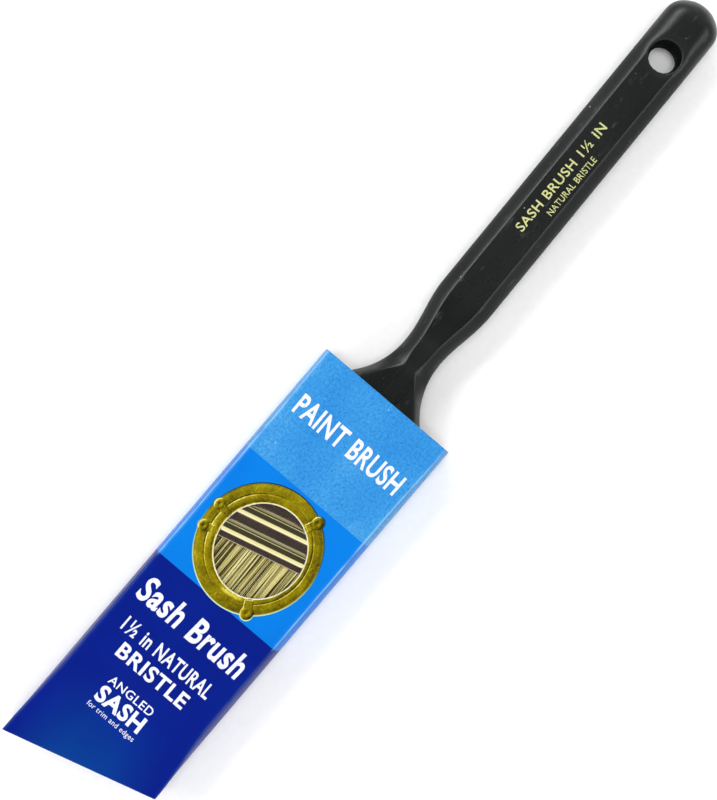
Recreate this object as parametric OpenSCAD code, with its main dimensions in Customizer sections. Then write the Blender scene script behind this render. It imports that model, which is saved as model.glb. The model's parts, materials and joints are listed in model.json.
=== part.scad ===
// Angled sash paint brush lying in its cardboard keeper sleeve.
// +X runs along the brush towards the hanging end of the handle, +Y towards the
// long (toe) side of the bristles, +Z up through the brush's thickness.
// The origin is under the middle of the whole object, on the surface it lies on.

/* [Handle] */
// Length from the ferrule's top edge to the rounded end
handle_l = 144.6; // [125:0.2:175]
// Width of the straight grip
grip_w = 15.6; // [12:0.2:20]
// Thickness of the straight grip
grip_t = 11.6; // [9:0.2:14]
// Width of the flat face along the grip, between its bevels
grip_face_w = 8.8; // [5:0.2:11]
// Depth of the grip's bevels, measured through the thickness
grip_bevel_t = 2.4; // [1:0.1:4]
// Width of the neck at its narrowest
neck_w = 11.1; // [9:0.1:12]
// Thickness of the neck at its narrowest
neck_t = 10; // [8:0.1:11]
// Width of the flat face at the neck
neck_face_w = 4.8; // [3:0.2:6]
// Radius of the hollow curve that opens from the neck to the shoulder
flare_r = 22.5; // [16:0.5:30]
// Steepest angle of the shoulder against the handle's length
flare_angle = 42; // [30:1:50]
// Length of the shoulder's square corner before it is rounded
shoulder_l = 3.7; // [3:0.1:6]
// Radius of the shoulder's outer corner
shoulder_r = 5.5; // [3:0.5:7]
// Length over which the neck opens into the grip
swell_l = 18.5; // [12:0.5:30]
// Length of the rounded end
tip_l = 7.1; // [5:0.1:9]
// Depth of the root block that fills the top of the ferrule
root_l = 15; // [10:0.5:18]

/* [Hanging hole] */
// Radius of the hole
hole_r = 3.7; // [2.5:0.1:4.5]
// Distance of the hole's centre from the rounded end
hole_from_tip = 17.8; // [12:0.1:25]
// Width of the flared lip round the hole
hole_lip = 0.6; // [0.2:0.1:1]

/* [Ferrule] */
// Outer width
ferrule_w = 38.4; // [32:0.2:50]
// Outer thickness
ferrule_t = 12.6; // [10.4:0.1:16]
// Outer corner radius
ferrule_r = 3.6; // [2:0.1:5]
// Thickness of the metal
ferrule_wall = 0.4; // [0.2:0.05:0.6]
// Length along the middle
ferrule_l = 40.2; // [33:0.2:50]
// Slant of the lower edge and of the beads
ferrule_slant = 13.5; // [0:0.5:16]
// Distance of the first bead's centre from the lower edge
bead_offset = 3.5; // [2.5:0.1:5]
// Distance between the two beads
bead_pitch = 6; // [4.5:0.1:8]
// Width of each bead
bead_w = 3.2; // [2:0.1:4]
// Height of each bead above the metal
bead_h = 0.5; // [0.2:0.05:0.6]

/* [Nails] */
// Distance of the nails from the ferrule's top edge
nail_from_top = 7; // [4:0.5:10]
// Distance between the two nails on one face
nail_gap = 22; // [14:1:28]
// Radius of the shank
nail_r = 0.55; // [0.4:0.05:0.8]
// Length under the head
nail_l = 5; // [3:0.25:5.5]
// Radius of the head
nail_head_r = 1.3; // [0.9:0.1:1.6]
// Height of the head
nail_head_h = 0.35; // [0.2:0.05:0.4]

/* [Bristles] */
// Length outside the ferrule along the middle
bristle_out = 55.6; // [45:0.2:64]
// Slant of the tips
bristle_slant = 15; // [0:0.5:18]
// Depth of the set bristle ends inside the ferrule
bristle_set = 17.6; // [14:0.2:19]
// How much narrower each side is at the tips
bristle_taper = 0.6; // [0:0.1:2]
// How much thinner each face is where the chisel edge begins
bristle_thinning = 0.7; // [0.2:0.1:1.5]
// Length of the chisel edge
chisel_l = 14; // [8:0.5:20]
// Thickness at the tips
tip_t = 2.4; // [1:0.2:5]

/* [Plug] */
// Bristle left on each side of the spacer plug that parts the two banks
plug_side = 2.8; // [1:0.2:6]
// Thickness at its top
plug_t = 3.4; // [2:0.2:5]
// Thickness at its lower end
plug_end_t = 1.6; // [1:0.2:3]
// Length of the plug
plug_l = 16; // [10:0.5:17]

/* [Sleeve] */
// Thickness of the card
card_t = 0.45; // [0.3:0.05:0.6]
// Play on each side between the ferrule's beads and the card, seam flap included
side_play = 0.85; // [0.8:0.05:3]
// Play between the ferrule's beads and the card on the front and the back
face_play = 0.45; // [0.3:0.05:2]
// Room past the tips of the bristle along the middle
tip_room = 15.7; // [14:0.1:40]
// Slant of the closed end
sleeve_slant = 15.7; // [0:0.1:17]
// How far the sleeve reaches past the ferrule's top edge, over the shoulder
sleeve_cover = 12; // [6:0.5:20]
// Turn of the sleeve against the brush, from the play between them
sleeve_turn = 1.07; // [0:0.01:1.1]
// Distance of the point it is turned about above the ferrule's lower edge
turn_from_edge = 1.2; // [0:0.1:5]
// Radius of the round window
window_r = 12.65; // [8:0.05:15]
// Distance of the window's centre above the ferrule's lower edge
window_from_edge = 1.2; // [-8:0.1:10]
// Distance of the window's centre from the middle of the front, towards the short side
window_shift = 0.3; // [0:0.05:1.5]
// Length of the tongue tucked in at the closed end
tongue_l = 9; // [5:0.5:12]
// Reach of each dust flap across the closed end
dust_flap_l = 13; // [8:0.5:18]
// Gap that keeps the inner flaps off the folds next to them
flap_gap = 0.6; // [0.4:0.1:1.5]

/* [Hidden] */

$fn = 64;
hull_fn = 32;
big = 200;
eps = 0.01;
// Extra length of a bar that is then cut off on the slant
bar_margin = 20;
slice_t = 0.5;
// Step between the bristle inside the ferrule and where it leaves it
bristle_inset = 0.1;

// Inside of the ferrule
inner_w = ferrule_w - 2 * ferrule_wall;
inner_t = ferrule_t - 2 * ferrule_wall;
inner_r = ferrule_r - ferrule_wall;
plug_w = inner_w - 2 * plug_side;
chisel_t = inner_t - 2 * bristle_thinning;

// Outside of the sleeve, sized to hold the brush's head.  The window sits over the ferrule's edge.
sleeve_w = ferrule_w + 2 * (bead_h + side_play + card_t);
sleeve_t = ferrule_t + 2 * (bead_h + face_play + card_t);
sleeve_mid_l = sleeve_cover + ferrule_l + bristle_out + tip_room;
sleeve_l = sleeve_mid_l + sleeve_w / 2 * tan(sleeve_slant);
window_from_mouth = sleeve_cover + ferrule_l - window_from_edge;
turn_from_mouth = sleeve_cover + ferrule_l - turn_from_edge;

// Height of the brush's mid plane: the sleeve lies on its back panel.
mid_z = sleeve_t / 2;

// How far the root block runs on into the head, so that the two are one solid
root_overlap = 1.5;

// Places along X.  The whole object is centred on the origin.
mouth_to_tip = handle_l - sleeve_cover;
corner_reach = sleeve_l * cos(sleeve_turn) - sleeve_w / 2 * sin(sleeve_turn);
mouth_x = (corner_reach - mouth_to_tip) / 2;
tip_x = mouth_x + mouth_to_tip;
ferrule_x = mouth_x - sleeve_cover;
edge_x = ferrule_x - ferrule_l;
root_x = ferrule_x - root_l;
set_x = edge_x + bristle_set;
bristle_x = edge_x - bristle_out;
hole_x = tip_x - hole_from_tip;
nail_x = ferrule_x - nail_from_top;
mouth_y = -turn_from_mouth * sin(sleeve_turn);

// Handle outline, by the distance u from the ferrule's top edge.
// The hollow arc leaves the neck and runs into a straight line at flare_angle,
// which meets the ferrule's width at shoulder_l and is rounded there.
arc_rise = flare_r * (1 - cos(flare_angle));
arc_run = flare_r * sin(flare_angle);
line_run = (ferrule_w / 2 - neck_w / 2 - arc_rise) / tan(flare_angle);
neck_u = shoulder_l + line_run + arc_run;
grip_u = neck_u + swell_l;
corner_run = shoulder_r * tan(flare_angle / 2);
corner_end_u = shoulder_l + corner_run * cos(flare_angle);
corner_start_u = shoulder_l - corner_run;
// The flat of the head ends in a point this far short of the neck.
head_point = 5.5;
head_point_face = 3.6;
head_bevel = 0.8;
head_u = neck_u - head_point;

// Share of the squared width and of the thickness that the rounded end keeps at its very tip
tip_blunt = 0.03;
tip_keep = 0.55;

function smooth(a, b, s) = a + (b - a) * (1 - cos(180 * min(max(s, 0), 1))) / 2;

function half_w(u) =
    u >= handle_l - tip_l ? grip_w / 2 * sqrt(max(1 - pow((u - handle_l + tip_l) / tip_l, 2), tip_blunt)) :
    u >= neck_u ? smooth(neck_w, grip_w, (u - neck_u) / swell_l) / 2 :
    u >= neck_u - arc_run ? neck_w / 2 + flare_r - sqrt(pow(flare_r, 2) - pow(neck_u - u, 2)) :
    u >= corner_end_u ? ferrule_w / 2 - (u - shoulder_l) * tan(flare_angle) :
    u >= corner_start_u ?
        ferrule_w / 2 - shoulder_r + sqrt(pow(shoulder_r, 2) - pow(u - corner_start_u, 2)) :
    ferrule_w / 2;

function half_t(u) =
    u >= handle_l - tip_l ? grip_t / 2 * (1 - (1 - tip_keep) * pow((u - handle_l + tip_l) / tip_l, 2)) :
    u >= neck_u ? smooth(neck_t, grip_t, (u - neck_u) / swell_l) / 2 :
    u >= head_u ? smooth(ferrule_t, neck_t, (u - head_u) / head_point) / 2 :
    ferrule_t / 2;

// Share of the way from the shoulder's rounded corner to its end at the ferrule
function corner_share(u) = min(max((corner_end_u - u) / corner_end_u, 0), 1);

function bevel_w(u) =
    u >= neck_u ? smooth(neck_w - neck_face_w, grip_w - grip_face_w, (u - neck_u) / swell_l) / 2 :
    u >= head_u ? smooth(half_w(u) - head_point_face / 2, (neck_w - neck_face_w) / 2,
                         (u - head_u) / head_point) :
    smooth(max(head_bevel, half_w(u) - head_point_face / 2 - (head_u - u) * tan(flare_angle)),
           ferrule_r, corner_share(u));

function bevel_t(u) =
    u >= head_u ? grip_bevel_t : smooth(min(bevel_w(u), grip_bevel_t), ferrule_r, corner_share(u));

// Bevels turn from nearly flat on the grip to the ferrule's round corner at the shoulder.
bevel_crown = 0.56;
function bevel_fill(u) = smooth(bevel_crown, sin(45), corner_share(u));

// One quarter of the section: face edge, middle of the bevel, side edge
bevel_share = 0.8;
function quarter(u) =
    let (w = half_w(u), t = half_t(u), k = bevel_fill(u))
    let (bw = min(bevel_w(u), w * bevel_share), bt = min(bevel_t(u), t * bevel_share))
    [[w - bw, t], [w - bw * (1 - k), t - bt * (1 - k)], [w, t - bt]];

function turned(points) = [for (i = [len(points) - 1:-1:0]) points[i]];
function section(u) =
    let (q = quarter(u))
    concat([for (p = q) [p[0], p[1]]], [for (p = turned(q)) [p[0], -p[1]]],
           [for (p = q) [-p[0], -p[1]]], [for (p = turned(q)) [-p[0], p[1]]]);

// Stations along the handle, closer together where it bends most
head_steps = 26;
swell_steps = 12;
grip_steps = 3;
tip_steps = 12;
stations = concat(
    [for (i = [0:head_steps - 1]) i * neck_u / head_steps],
    [for (i = [0:swell_steps - 1]) neck_u + i * swell_l / swell_steps],
    [for (i = [0:grip_steps - 1]) grip_u + i * (handle_l - tip_l - grip_u) / grip_steps],
    [for (i = [0:tip_steps]) handle_l - tip_l + tip_l * sin(90 * i / tip_steps)]);

module handle_body() {
    rings = [for (u = stations) section(u)];
    n = len(rings[0]);
    last = len(stations) - 1;
    points = [for (i = [0:last], p = rings[i]) [ferrule_x + stations[i], p[0], mid_z + p[1]]];
    walls = [for (i = [0:last - 1]) for (j = [0:n - 1])
             [i * n + j, i * n + (j + 1) % n, (i + 1) * n + (j + 1) % n, (i + 1) * n + j]];
    start_cap = [[for (j = [n - 1:-1:0]) j]];
    end_cap = [[for (j = [0:n - 1]) last * n + j]];
    polyhedron(points, concat(walls, start_cap, end_cap), convexity = 4);
}

// Bar with rounded corners along X, from x0 to x1, centred on the brush's mid plane
module rounded_bar(w, t, r, x0, x1) {
    translate([x0, 0, mid_z]) rotate([0, 90, 0]) linear_extrude(x1 - x0) union() {
        square([t - 2 * r, w], center = true);
        square([t, w - 2 * r], center = true);
        for (a = [-1, 1], b = [-1, 1]) translate([a * (t / 2 - r), b * (w / 2 - r)]) circle(r);
    }
}

// Slab between two slanted planes, d0 and d1 above the slanted line that crosses the middle at x
module slanted_slab(x, d0, d1, slant) {
    translate([x, 0, mid_z]) rotate([0, 0, slant]) translate([d0, -big / 2, -big / 2])
        cube([d1 - d0, big, big]);
}

// face is 1 on the front and -1 on the back, side is 1 towards the toe and -1 towards the heel
module at_nail(face, side) {
    translate([nail_x, side * nail_gap / 2, mid_z]) rotate([face > 0 ? 0 : 180, 0, 0])
        translate([0, 0, ferrule_t / 2]) children();
}

module nail_shank(r) {
    translate([0, 0, -nail_l]) cylinder(r = r, h = nail_l);
}

module nail(face, side) {
    color("#9c8a3c") at_nail(face, side) union() {
        nail_shank(nail_r);
        cylinder(r1 = nail_head_r, r2 = nail_head_r * 0.6, h = nail_head_h);
    }
}

module nail_holes() {
    for (face = [-1, 1], side = [-1, 1]) at_nail(face, side) nail_shank(nail_r);
}

module hanging_hole() {
    translate([hole_x, 0, mid_z]) union() {
        cylinder(r = hole_r, h = 2 * grip_t, center = true);
        for (a = [0, 180]) rotate([a, 0, 0]) translate([0, 0, grip_t / 2 - hole_lip])
            cylinder(r1 = hole_r, r2 = hole_r + 2 * hole_lip, h = 2 * hole_lip);
    }
}

// Moulded handle: shoulder, neck and bevelled grip, with the root block that fills the ferrule
module handle() {
    color("#1c2020") difference() {
        union() {
            handle_body();
            rounded_bar(inner_w, inner_t, inner_r, root_x, ferrule_x + root_overlap);
        }
        hanging_hole();
        nail_holes();
    }
}

// Bar round the ferrule, standing h proud of it all round
module grown_bar(h) {
    rounded_bar(ferrule_w + 2 * h, ferrule_t + 2 * h, ferrule_r + h, edge_x - bar_margin, ferrule_x);
}

// Rolled bead across the ferrule, in two steps, its centre at offset from the lower edge
module bead(offset) {
    intersection() {
        union() {
            intersection() {
                grown_bar(bead_h);
                slanted_slab(edge_x, offset - bead_w / 4, offset + bead_w / 4, ferrule_slant);
            }
            grown_bar(bead_h / 2);
        }
        slanted_slab(edge_x, offset - bead_w / 2, offset + bead_w / 2, ferrule_slant);
    }
}

// Plated metal band, with its two rolled beads and its slanted lower edge
module ferrule() {
    color("#a8973f") difference() {
        union() {
            grown_bar(0);
            bead(bead_offset);
            bead(bead_offset + bead_pitch);
        }
        rounded_bar(inner_w, inner_t, inner_r, edge_x - bar_margin - 1, ferrule_x + 1);
        slanted_slab(edge_x, -big, 0, ferrule_slant);
        nail_holes();
    }
}

// Resin that holds the bristle ends, between the handle's root and the bristle butts
module epoxy_set() {
    color("#5a4a2c") rounded_bar(inner_w, inner_t, inner_r, set_x, root_x);
}

module plug_shape() {
    translate([set_x, 0, mid_z]) rotate([90, 0, 0]) linear_extrude(plug_w, center = true)
        polygon([[0, plug_t / 2], [0, -plug_t / 2], [-plug_l, -plug_end_t / 2], [-plug_l, plug_end_t / 2]]);
}

// Wedge that keeps the two banks apart inside the ferrule
module spacer_plug() {
    color("#8a6b45") plug_shape();
}

// Thin slice across the bristles, slanted like their tips
module bristle_slice(x, w, t, slant) {
    intersection() {
        rounded_bar(w, t, min(t / 2 - eps, inner_r), x - bar_margin, x + bar_margin, $fn = hull_fn);
        slanted_slab(x, 0, slice_t, slant);
    }
}

module bristle_head() {
    chisel_x = bristle_x + chisel_l;
    difference() {
        rounded_bar(inner_w, inner_t, inner_r, edge_x - bar_margin, set_x);
        slanted_slab(edge_x, -big, 0, ferrule_slant);
    }
    hull() {
        bristle_slice(edge_x, inner_w - 2 * bristle_inset, inner_t - 2 * bristle_inset, ferrule_slant);
        bristle_slice(chisel_x, inner_w - bristle_taper, chisel_t, bristle_slant);
    }
    hull() {
        bristle_slice(chisel_x, inner_w - bristle_taper, chisel_t, bristle_slant);
        bristle_slice(bristle_x, inner_w - 2 * bristle_taper, tip_t, bristle_slant);
    }
}

// One of the two banks of bristle, face = 1 in front of the plug and -1 behind it
module bristle_bank(face) {
    color("#b9ad6c") difference() {
        intersection() {
            bristle_head();
            translate([-big, -big / 2, face > 0 ? mid_z : mid_z - big]) cube([2 * big, big, big]);
        }
        plug_shape();
    }
}

// The sleeve's own frame: mouth at x = 0, closed end at negative x
module in_sleeve() {
    translate([mouth_x, mouth_y, 0]) rotate([0, 0, -sleeve_turn]) children();
}

// Inside faces of the sleeve
wall_y = sleeve_w / 2 - card_t;
roof_z = sleeve_t - card_t;
side_h = sleeve_t - 2 * card_t;

// Place along the sleeve of the closed end's plane, depth inside its outer face
function end_x(y, depth) = -sleeve_l + (sleeve_w / 2 - y) * tan(sleeve_slant) + depth / cos(sleeve_slant);

// Flat piece of card inside the sleeve from y0 to y1, running along the closed end
module end_strip(y0, y1, depth0, depth1, z0, h) {
    in_sleeve() translate([0, 0, z0]) linear_extrude(h) polygon([
        [end_x(y0, depth0), y0], [end_x(y0, depth1), y0], [end_x(y1, depth1), y1], [end_x(y1, depth0), y1]]);
}

// Strip of card standing along the sleeve from y0 to y1, from the closed end to x_end
module side_strip(y0, y1, depth, x_end, z0, h) {
    in_sleeve() translate([0, 0, z0]) linear_extrude(h) polygon([
        [end_x(y0, depth), y0], [x_end, y0], [x_end, y1], [end_x(y1, depth), y1]]);
}

// Printed front with the round window
module sleeve_front_panel() {
    color("#0b54c8") difference() {
        side_strip(-sleeve_w / 2, sleeve_w / 2, 0, 0, roof_z, card_t);
        in_sleeve() translate([-window_from_mouth, -window_shift, roof_z - 1]) cylinder(r = window_r, h = card_t + 2);
    }
}

// Printed back, the face that the object lies on
module sleeve_back_panel() {
    color("#0b54c8") side_strip(-sleeve_w / 2, sleeve_w / 2, 0, 0, 0, card_t);
}

// Narrow side along the long edge
module sleeve_toe_side() {
    color("#0a4ab4") side_strip(wall_y, sleeve_w / 2, 0, 0, card_t, side_h);
}

// Narrow side along the short edge
module sleeve_heel_side() {
    color("#0a4ab4") side_strip(-sleeve_w / 2, -wall_y, 0, 0, card_t, side_h);
}

// Glued seam: second layer of card inside the heel side
module sleeve_seam_flap() {
    color("#d8d4c8") side_strip(-wall_y, -wall_y + card_t, 2 * card_t + flap_gap, -flap_gap,
                                card_t + flap_gap, side_h - 2 * flap_gap);
}

// Panel folded over the closed end
module sleeve_end_panel() {
    color("#062a86") end_strip(-wall_y, wall_y, 0, card_t, card_t, side_h);
}

// Tongue of the end panel, tucked in under the front
module sleeve_tuck_tongue() {
    color("#d8d4c8") end_strip(-wall_y + card_t + flap_gap, wall_y - flap_gap, card_t, tongue_l,
                               roof_z - card_t, card_t);
}

// Dust flaps folded in from the two sides behind the end panel, side = 1 at the toe
module dust_flap(side) {
    outer = side > 0 ? wall_y : wall_y - card_t - flap_gap;
    color("#d8d4c8") end_strip(min(side * outer, side * (outer - dust_flap_l)),
                               max(side * outer, side * (outer - dust_flap_l)),
                               card_t, 2 * card_t, card_t + flap_gap, side_h - card_t - 2 * flap_gap);
}

handle();
ferrule();
epoxy_set();
spacer_plug();
bristle_bank(1);  // bristle_bank_front
bristle_bank(-1);  // bristle_bank_back
nail(1, 1);  // nail_front_toe
nail(1, -1);  // nail_front_heel
nail(-1, 1);  // nail_back_toe
nail(-1, -1);  // nail_back_heel
sleeve_front_panel();
sleeve_back_panel();
sleeve_toe_side();
sleeve_heel_side();
sleeve_seam_flap();
sleeve_end_panel();
sleeve_tuck_tongue();
dust_flap(1);  // sleeve_dust_flap_toe
dust_flap(-1);  // sleeve_dust_flap_heel
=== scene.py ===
"""Angled sash paint brush lying in its printed card keeper sleeve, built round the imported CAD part.

Lengths are in millimetres until a mesh is made. The frame is the CAD's: +X along the brush towards the
hanging end, +Y towards the long (toe) side of the bristle, +Z up. The sleeve has its own frame, with its
mouth at x = 0 and its closed end at negative x.
"""
import json
import math

import bpy
import numpy as np
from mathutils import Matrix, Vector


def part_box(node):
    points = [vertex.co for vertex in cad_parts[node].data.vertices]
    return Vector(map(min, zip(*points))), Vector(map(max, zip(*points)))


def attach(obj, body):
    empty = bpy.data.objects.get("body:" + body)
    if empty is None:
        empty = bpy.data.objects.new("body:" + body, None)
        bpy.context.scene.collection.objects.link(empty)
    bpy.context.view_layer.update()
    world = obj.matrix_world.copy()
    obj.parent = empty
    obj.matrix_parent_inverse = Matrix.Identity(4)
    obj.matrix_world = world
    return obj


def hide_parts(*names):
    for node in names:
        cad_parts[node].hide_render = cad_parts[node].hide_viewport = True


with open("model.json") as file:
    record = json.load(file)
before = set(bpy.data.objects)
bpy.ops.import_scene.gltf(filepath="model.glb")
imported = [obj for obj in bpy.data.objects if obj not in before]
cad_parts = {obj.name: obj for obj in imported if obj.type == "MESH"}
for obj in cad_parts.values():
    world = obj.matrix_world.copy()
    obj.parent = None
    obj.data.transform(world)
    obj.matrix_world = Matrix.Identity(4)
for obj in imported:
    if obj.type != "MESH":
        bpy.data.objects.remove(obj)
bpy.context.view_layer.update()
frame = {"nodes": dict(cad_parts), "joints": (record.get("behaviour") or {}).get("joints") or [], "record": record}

# ---------------------------------------------------------------- places taken from the frame

MM = 0.001


def corners(node_name):
    """Lowest and highest corner of a CAD node, in millimetres."""
    low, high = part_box(node_name)
    return np.array(low) / MM, np.array(high) / MM


def points_of(node_name):
    """All points of a CAD node, in millimetres."""
    data = frame["nodes"][node_name].data
    flat = np.zeros(len(data.vertices) * 3, np.float32)
    data.vertices.foreach_get("co", flat)
    return flat.reshape(-1, 3).astype(float) / MM


handle_low, handle_high = corners("handle")
ferrule_low, ferrule_high = corners("ferrule")
resin_low, resin_high = corners("epoxy_set")
mid_z = (handle_low[2] + handle_high[2]) / 2
ferrule_x = ferrule_high[0]
ferrule_w = 2 * handle_high[1]
ferrule_t = handle_high[2] - handle_low[2]
bead_h = ferrule_high[1] - ferrule_w / 2
handle_l = handle_high[0] - ferrule_x
inner_w = 2 * resin_high[1]
inner_t = resin_high[2] - resin_low[2]
set_x = resin_low[0]
ferrule_wall = (ferrule_w - inner_w) / 2

mounts = {m["name"]: m for m in frame["record"]["mounts"]}
hole_x = mounts["hang_hole"]["pos_m"][0] / MM
hole_r = mounts["hang_hole"]["dims"]["r_mm"]

# The sleeve slides along its own length, so the joint's axis gives its turn against the brush.
slide = frame["joints"][0]["axis"]
turn = math.atan2(slide[1], -slide[0])
turn_cos = math.cos(turn)
turn_sin = math.sin(turn)


def to_sleeve(p):
    """Turns points of the shared frame by the sleeve's turn, so that x runs along the sleeve."""
    x = p[..., 0] * turn_cos - p[..., 1] * turn_sin
    y = p[..., 0] * turn_sin + p[..., 1] * turn_cos
    return np.stack([x, y, p[..., 2]], -1)


panel = to_sleeve(points_of("sleeve_front_panel"))
mouth = panel[:, 0].max()
centre_y = (panel[:, 1].min() + panel[:, 1].max()) / 2
sleeve_w = np.ptp(panel[:, 1])
sleeve_t = corners("sleeve_front_panel")[1][2]
card_t = corners("sleeve_back_panel")[1][2]
edge_band = 0.01
toe_length = mouth - panel[panel[:, 1] > panel[:, 1].max() - edge_band, 0].min()
heel_length = mouth - panel[panel[:, 1] < panel[:, 1].min() + edge_band, 0].min()
end_slope = (toe_length - heel_length) / sleeve_w
end_cos = math.cos(math.atan(end_slope))

# The window's edge is every point of the front panel that is well inside its outline.
from_mouth = mouth - panel[:, 0]
inside = (from_mouth > 15) & (from_mouth < 90) & (np.abs(panel[:, 1] - centre_y) < sleeve_w / 3)
window_from_mouth = mouth - (panel[inside, 0].min() + panel[inside, 0].max()) / 2
window_y = (panel[inside, 1].min() + panel[inside, 1].max()) / 2 - centre_y
window_r = np.ptp(panel[inside, 0]) / 2

# ---------------------------------------------------------------- driving sizes, in millimetres

# Handle, by the distance u from the ferrule's top edge
GRIP_W = 15.6
GRIP_T = 11.6
GRIP_FACE_W = 8.8
BEVEL_T = 2.4
NECK_W = 11.1
NECK_T = 10.0
NECK_FACE_W = 4.8
FLARE_R = 22.5
FLARE_ANGLE = math.radians(42)
SHOULDER_L = 3.7
SHOULDER_R = 5.5
SWELL_L = 18.5
TIP_L = 7.1
HEAD_POINT = 5.5
HEAD_POINT_FACE = 3.4
HEAD_FACE_SPREAD = 0.8
SCOOP_BEFORE = 2.0
SCOOP_AFTER = 5.0
HEAD_BEVEL = 0.8
FERRULE_R = 3.6
ROUND = 2.0
BEVEL_ROUND = 1.2
TIP_FADE_L = 17.0
TIP_BEVEL_W = 2.4
TIP_BEVEL_T = 1.4
TIP_BEVEL_ROUND = 0.85
PARTING_H = 0.07
PARTING_W = 0.09
DISH_DEPTH = 0.32
DISH_W = 1.6
LIP_ROUND = 0.6
HOLE_DRAFT = 0.6
HOLE_LAND = 0.8
BORE_FADE = 0.3
HOLE_PATCH_BEFORE = 7.6
HOLE_PATCH_AFTER = 7.0
HOLE_PATCH_FROM = 14

# Ferrule
FERRULE_SLANT = math.radians(13.5)
BEAD_OFFSET = 3.5
BEAD_PITCH = 6.0
BEAD_W = 3.6
BEAD_POWER = 0.72
CREASE_DEPTH = 0.03
CREASE_AT = 1.1
CREASE_SPREAD = 0.1
SEAM_W = 2.6
SEAM_H = 0.12
SEAM_FADE = 0.3
FLAT_SLACK = 0.1
EDGE_ROUND = 0.06
EDGE_SETBACK = 0.05
FIRST_ROW = 0.15
DENT_DEPTH = 0.12
DENT_R = 1.9
NAIL_FROM_TOP = 7.0
NAIL_GAP = 22.0
NAIL_R = 0.55
NAIL_L = 5.0
NAIL_HEAD_R = 1.3
NAIL_HEAD_H = 0.35
NAIL_HEAD_RIM = 0.06
NAIL_TAPER_L = 0.9
NAIL_POINT_L = 0.5
NAIL_SINK = 0.6
NAIL_POLISH_AND_SHEEN = 0.6

# Bristle
BRISTLE_OUT = 55.6
BRISTLE_SLANT = math.radians(15)
BRISTLE_THIN = 0.7
CHISEL_L = 14.0
TIP_T = 2.4
PLUG_T = 3.4
PLUG_L = 16.0
STRANDS_PER_PIECE = 2900
STRAND_SIDES = 4
STRAND_R = (0.075, 0.145)
STRAND_CLEAR = 0.25
LOCK_W = 1.45
LOCK_T = 1.3
GATHER_AT_EDGE = 0.2
GATHER_BY_TIPS = 0.36
SPREAD_L = 30.0
HAIR_SCATTER = 0.30
LOCK_SCATTER = 0.9
WAVE_W = 0.16
WAVE_T = 0.12

# Sleeve
FOLD_R = 0.55
TOE_BOW = 1.0
HEEL_BOW = 1.8
BOW_GROWS_L = 26.0
BOW_EASES_L = 24.0
SIDE_FROM = 18.0
END_DIP = 0.55
DIP_L = 34.0
CROWN_H = 0.12
LIP_H = 0.16
SEAM_FLAP_L = 12.0
TONGUE_L = 9.0
TONGUE_GAP = 0.03
TONGUE_TAPER = 0.14
TONGUE_TAPER_FROM = 0.35
TONGUE_STEP_IN = 0.8
CLOSURE_GAP = 0.12
SEAM_FLAP_GAP = 0.05
HEEL_FREE_EDGE = 0.7
CREASE_W = 0.24
WINDOW_PATCH = 15.8
CUT_W = 0.18
CUT_DEPTH = 0.14
LIGHT_BAND_END = 32.3
BLUE_BAND_END = 68.2
RING_R = 17.5
INK_T = 0.03
INK_GAP = 0.006
PICTURE_GAP = 0.004
STAMP_T = 0.03
STAMP_SINK = 0.005

edge_x = ferrule_low[0] + ferrule_w / 2 * math.tan(FERRULE_SLANT)
bristle_x = edge_x - BRISTLE_OUT
half_w_sleeve = sleeve_w / 2
back_stop = FOLD_R + 0.1

# ---------------------------------------------------------------- meshes


def quads(index, close_columns=False, close_rows=False):
    """Squares of a grid of point numbers. The last column or row may join the first."""
    if close_columns:
        index = np.concatenate([index, index[:, :1]], 1)
    if close_rows:
        index = np.concatenate([index, index[:1]], 0)
    square = np.stack([index[:-1, :-1], index[:-1, 1:], index[1:, 1:], index[1:, :-1]], -1)
    return square.reshape(-1, 4)


def volume_of(points, faces):
    """Signed volume inside the faces: the sum over triangles of p0 . (p1 x p2) / 6."""
    total = 0.0
    for face in faces:
        for k in range(1, face.shape[1] - 1):
            a, b, c = points[face[:, 0]], points[face[:, k]], points[face[:, k + 1]]
            total += np.einsum("ij,ij->i", a, np.cross(b, c)).sum() / 6
    return total


def used_only(points, faces):
    """Drops points that no face uses, and says which were kept."""
    kept = np.unique(np.concatenate([f.ravel() for f in faces]))
    number = np.zeros(len(points), int)
    number[kept] = np.arange(len(kept))
    return points[kept], [number[f] for f in faces], kept


def put_in(name, data):
    """New object in the scene that shows the data."""
    made = bpy.data.objects.new(name, data)
    bpy.context.scene.collection.objects.link(made)
    return made


def build(name, points, faces, materials, body, face_material=None, sharp=40):
    """Makes a mesh with outward faces from points in millimetres and face arrays, and rides it on a body."""
    faces = [f for f in faces if len(f)]
    if volume_of(points - points.mean(0), faces) < 0:
        faces = [f[:, ::-1] for f in faces]
    mesh = bpy.data.meshes.new(name)
    mesh.vertices.add(len(points))
    mesh.vertices.foreach_set("co", (points * MM).astype(np.float32).ravel())
    corner_numbers = np.concatenate([f.ravel() for f in faces])
    sizes = np.concatenate([np.full(len(f), f.shape[1]) for f in faces])
    mesh.loops.add(len(corner_numbers))
    mesh.loops.foreach_set("vertex_index", corner_numbers.astype(np.int32))
    mesh.polygons.add(len(sizes))
    mesh.polygons.foreach_set("loop_start", (np.cumsum(sizes) - sizes).astype(np.int32))
    for material in materials:
        mesh.materials.append(material)
    if face_material is not None:
        mesh.polygons.foreach_set("material_index", face_material.astype(np.int32))
    mesh.update(calc_edges=True)
    mesh.validate()
    mesh.shade_smooth()
    mesh.set_sharp_from_angle(angle=math.radians(sharp))
    piece = put_in(name, mesh)
    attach(piece, body)
    return piece


def paint(piece, name, values):
    """Stores one number per point, for the material to read."""
    attribute = piece.data.attributes.new(name, "FLOAT", "POINT")
    attribute.data.foreach_set("value", values.astype(np.float32))


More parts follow.
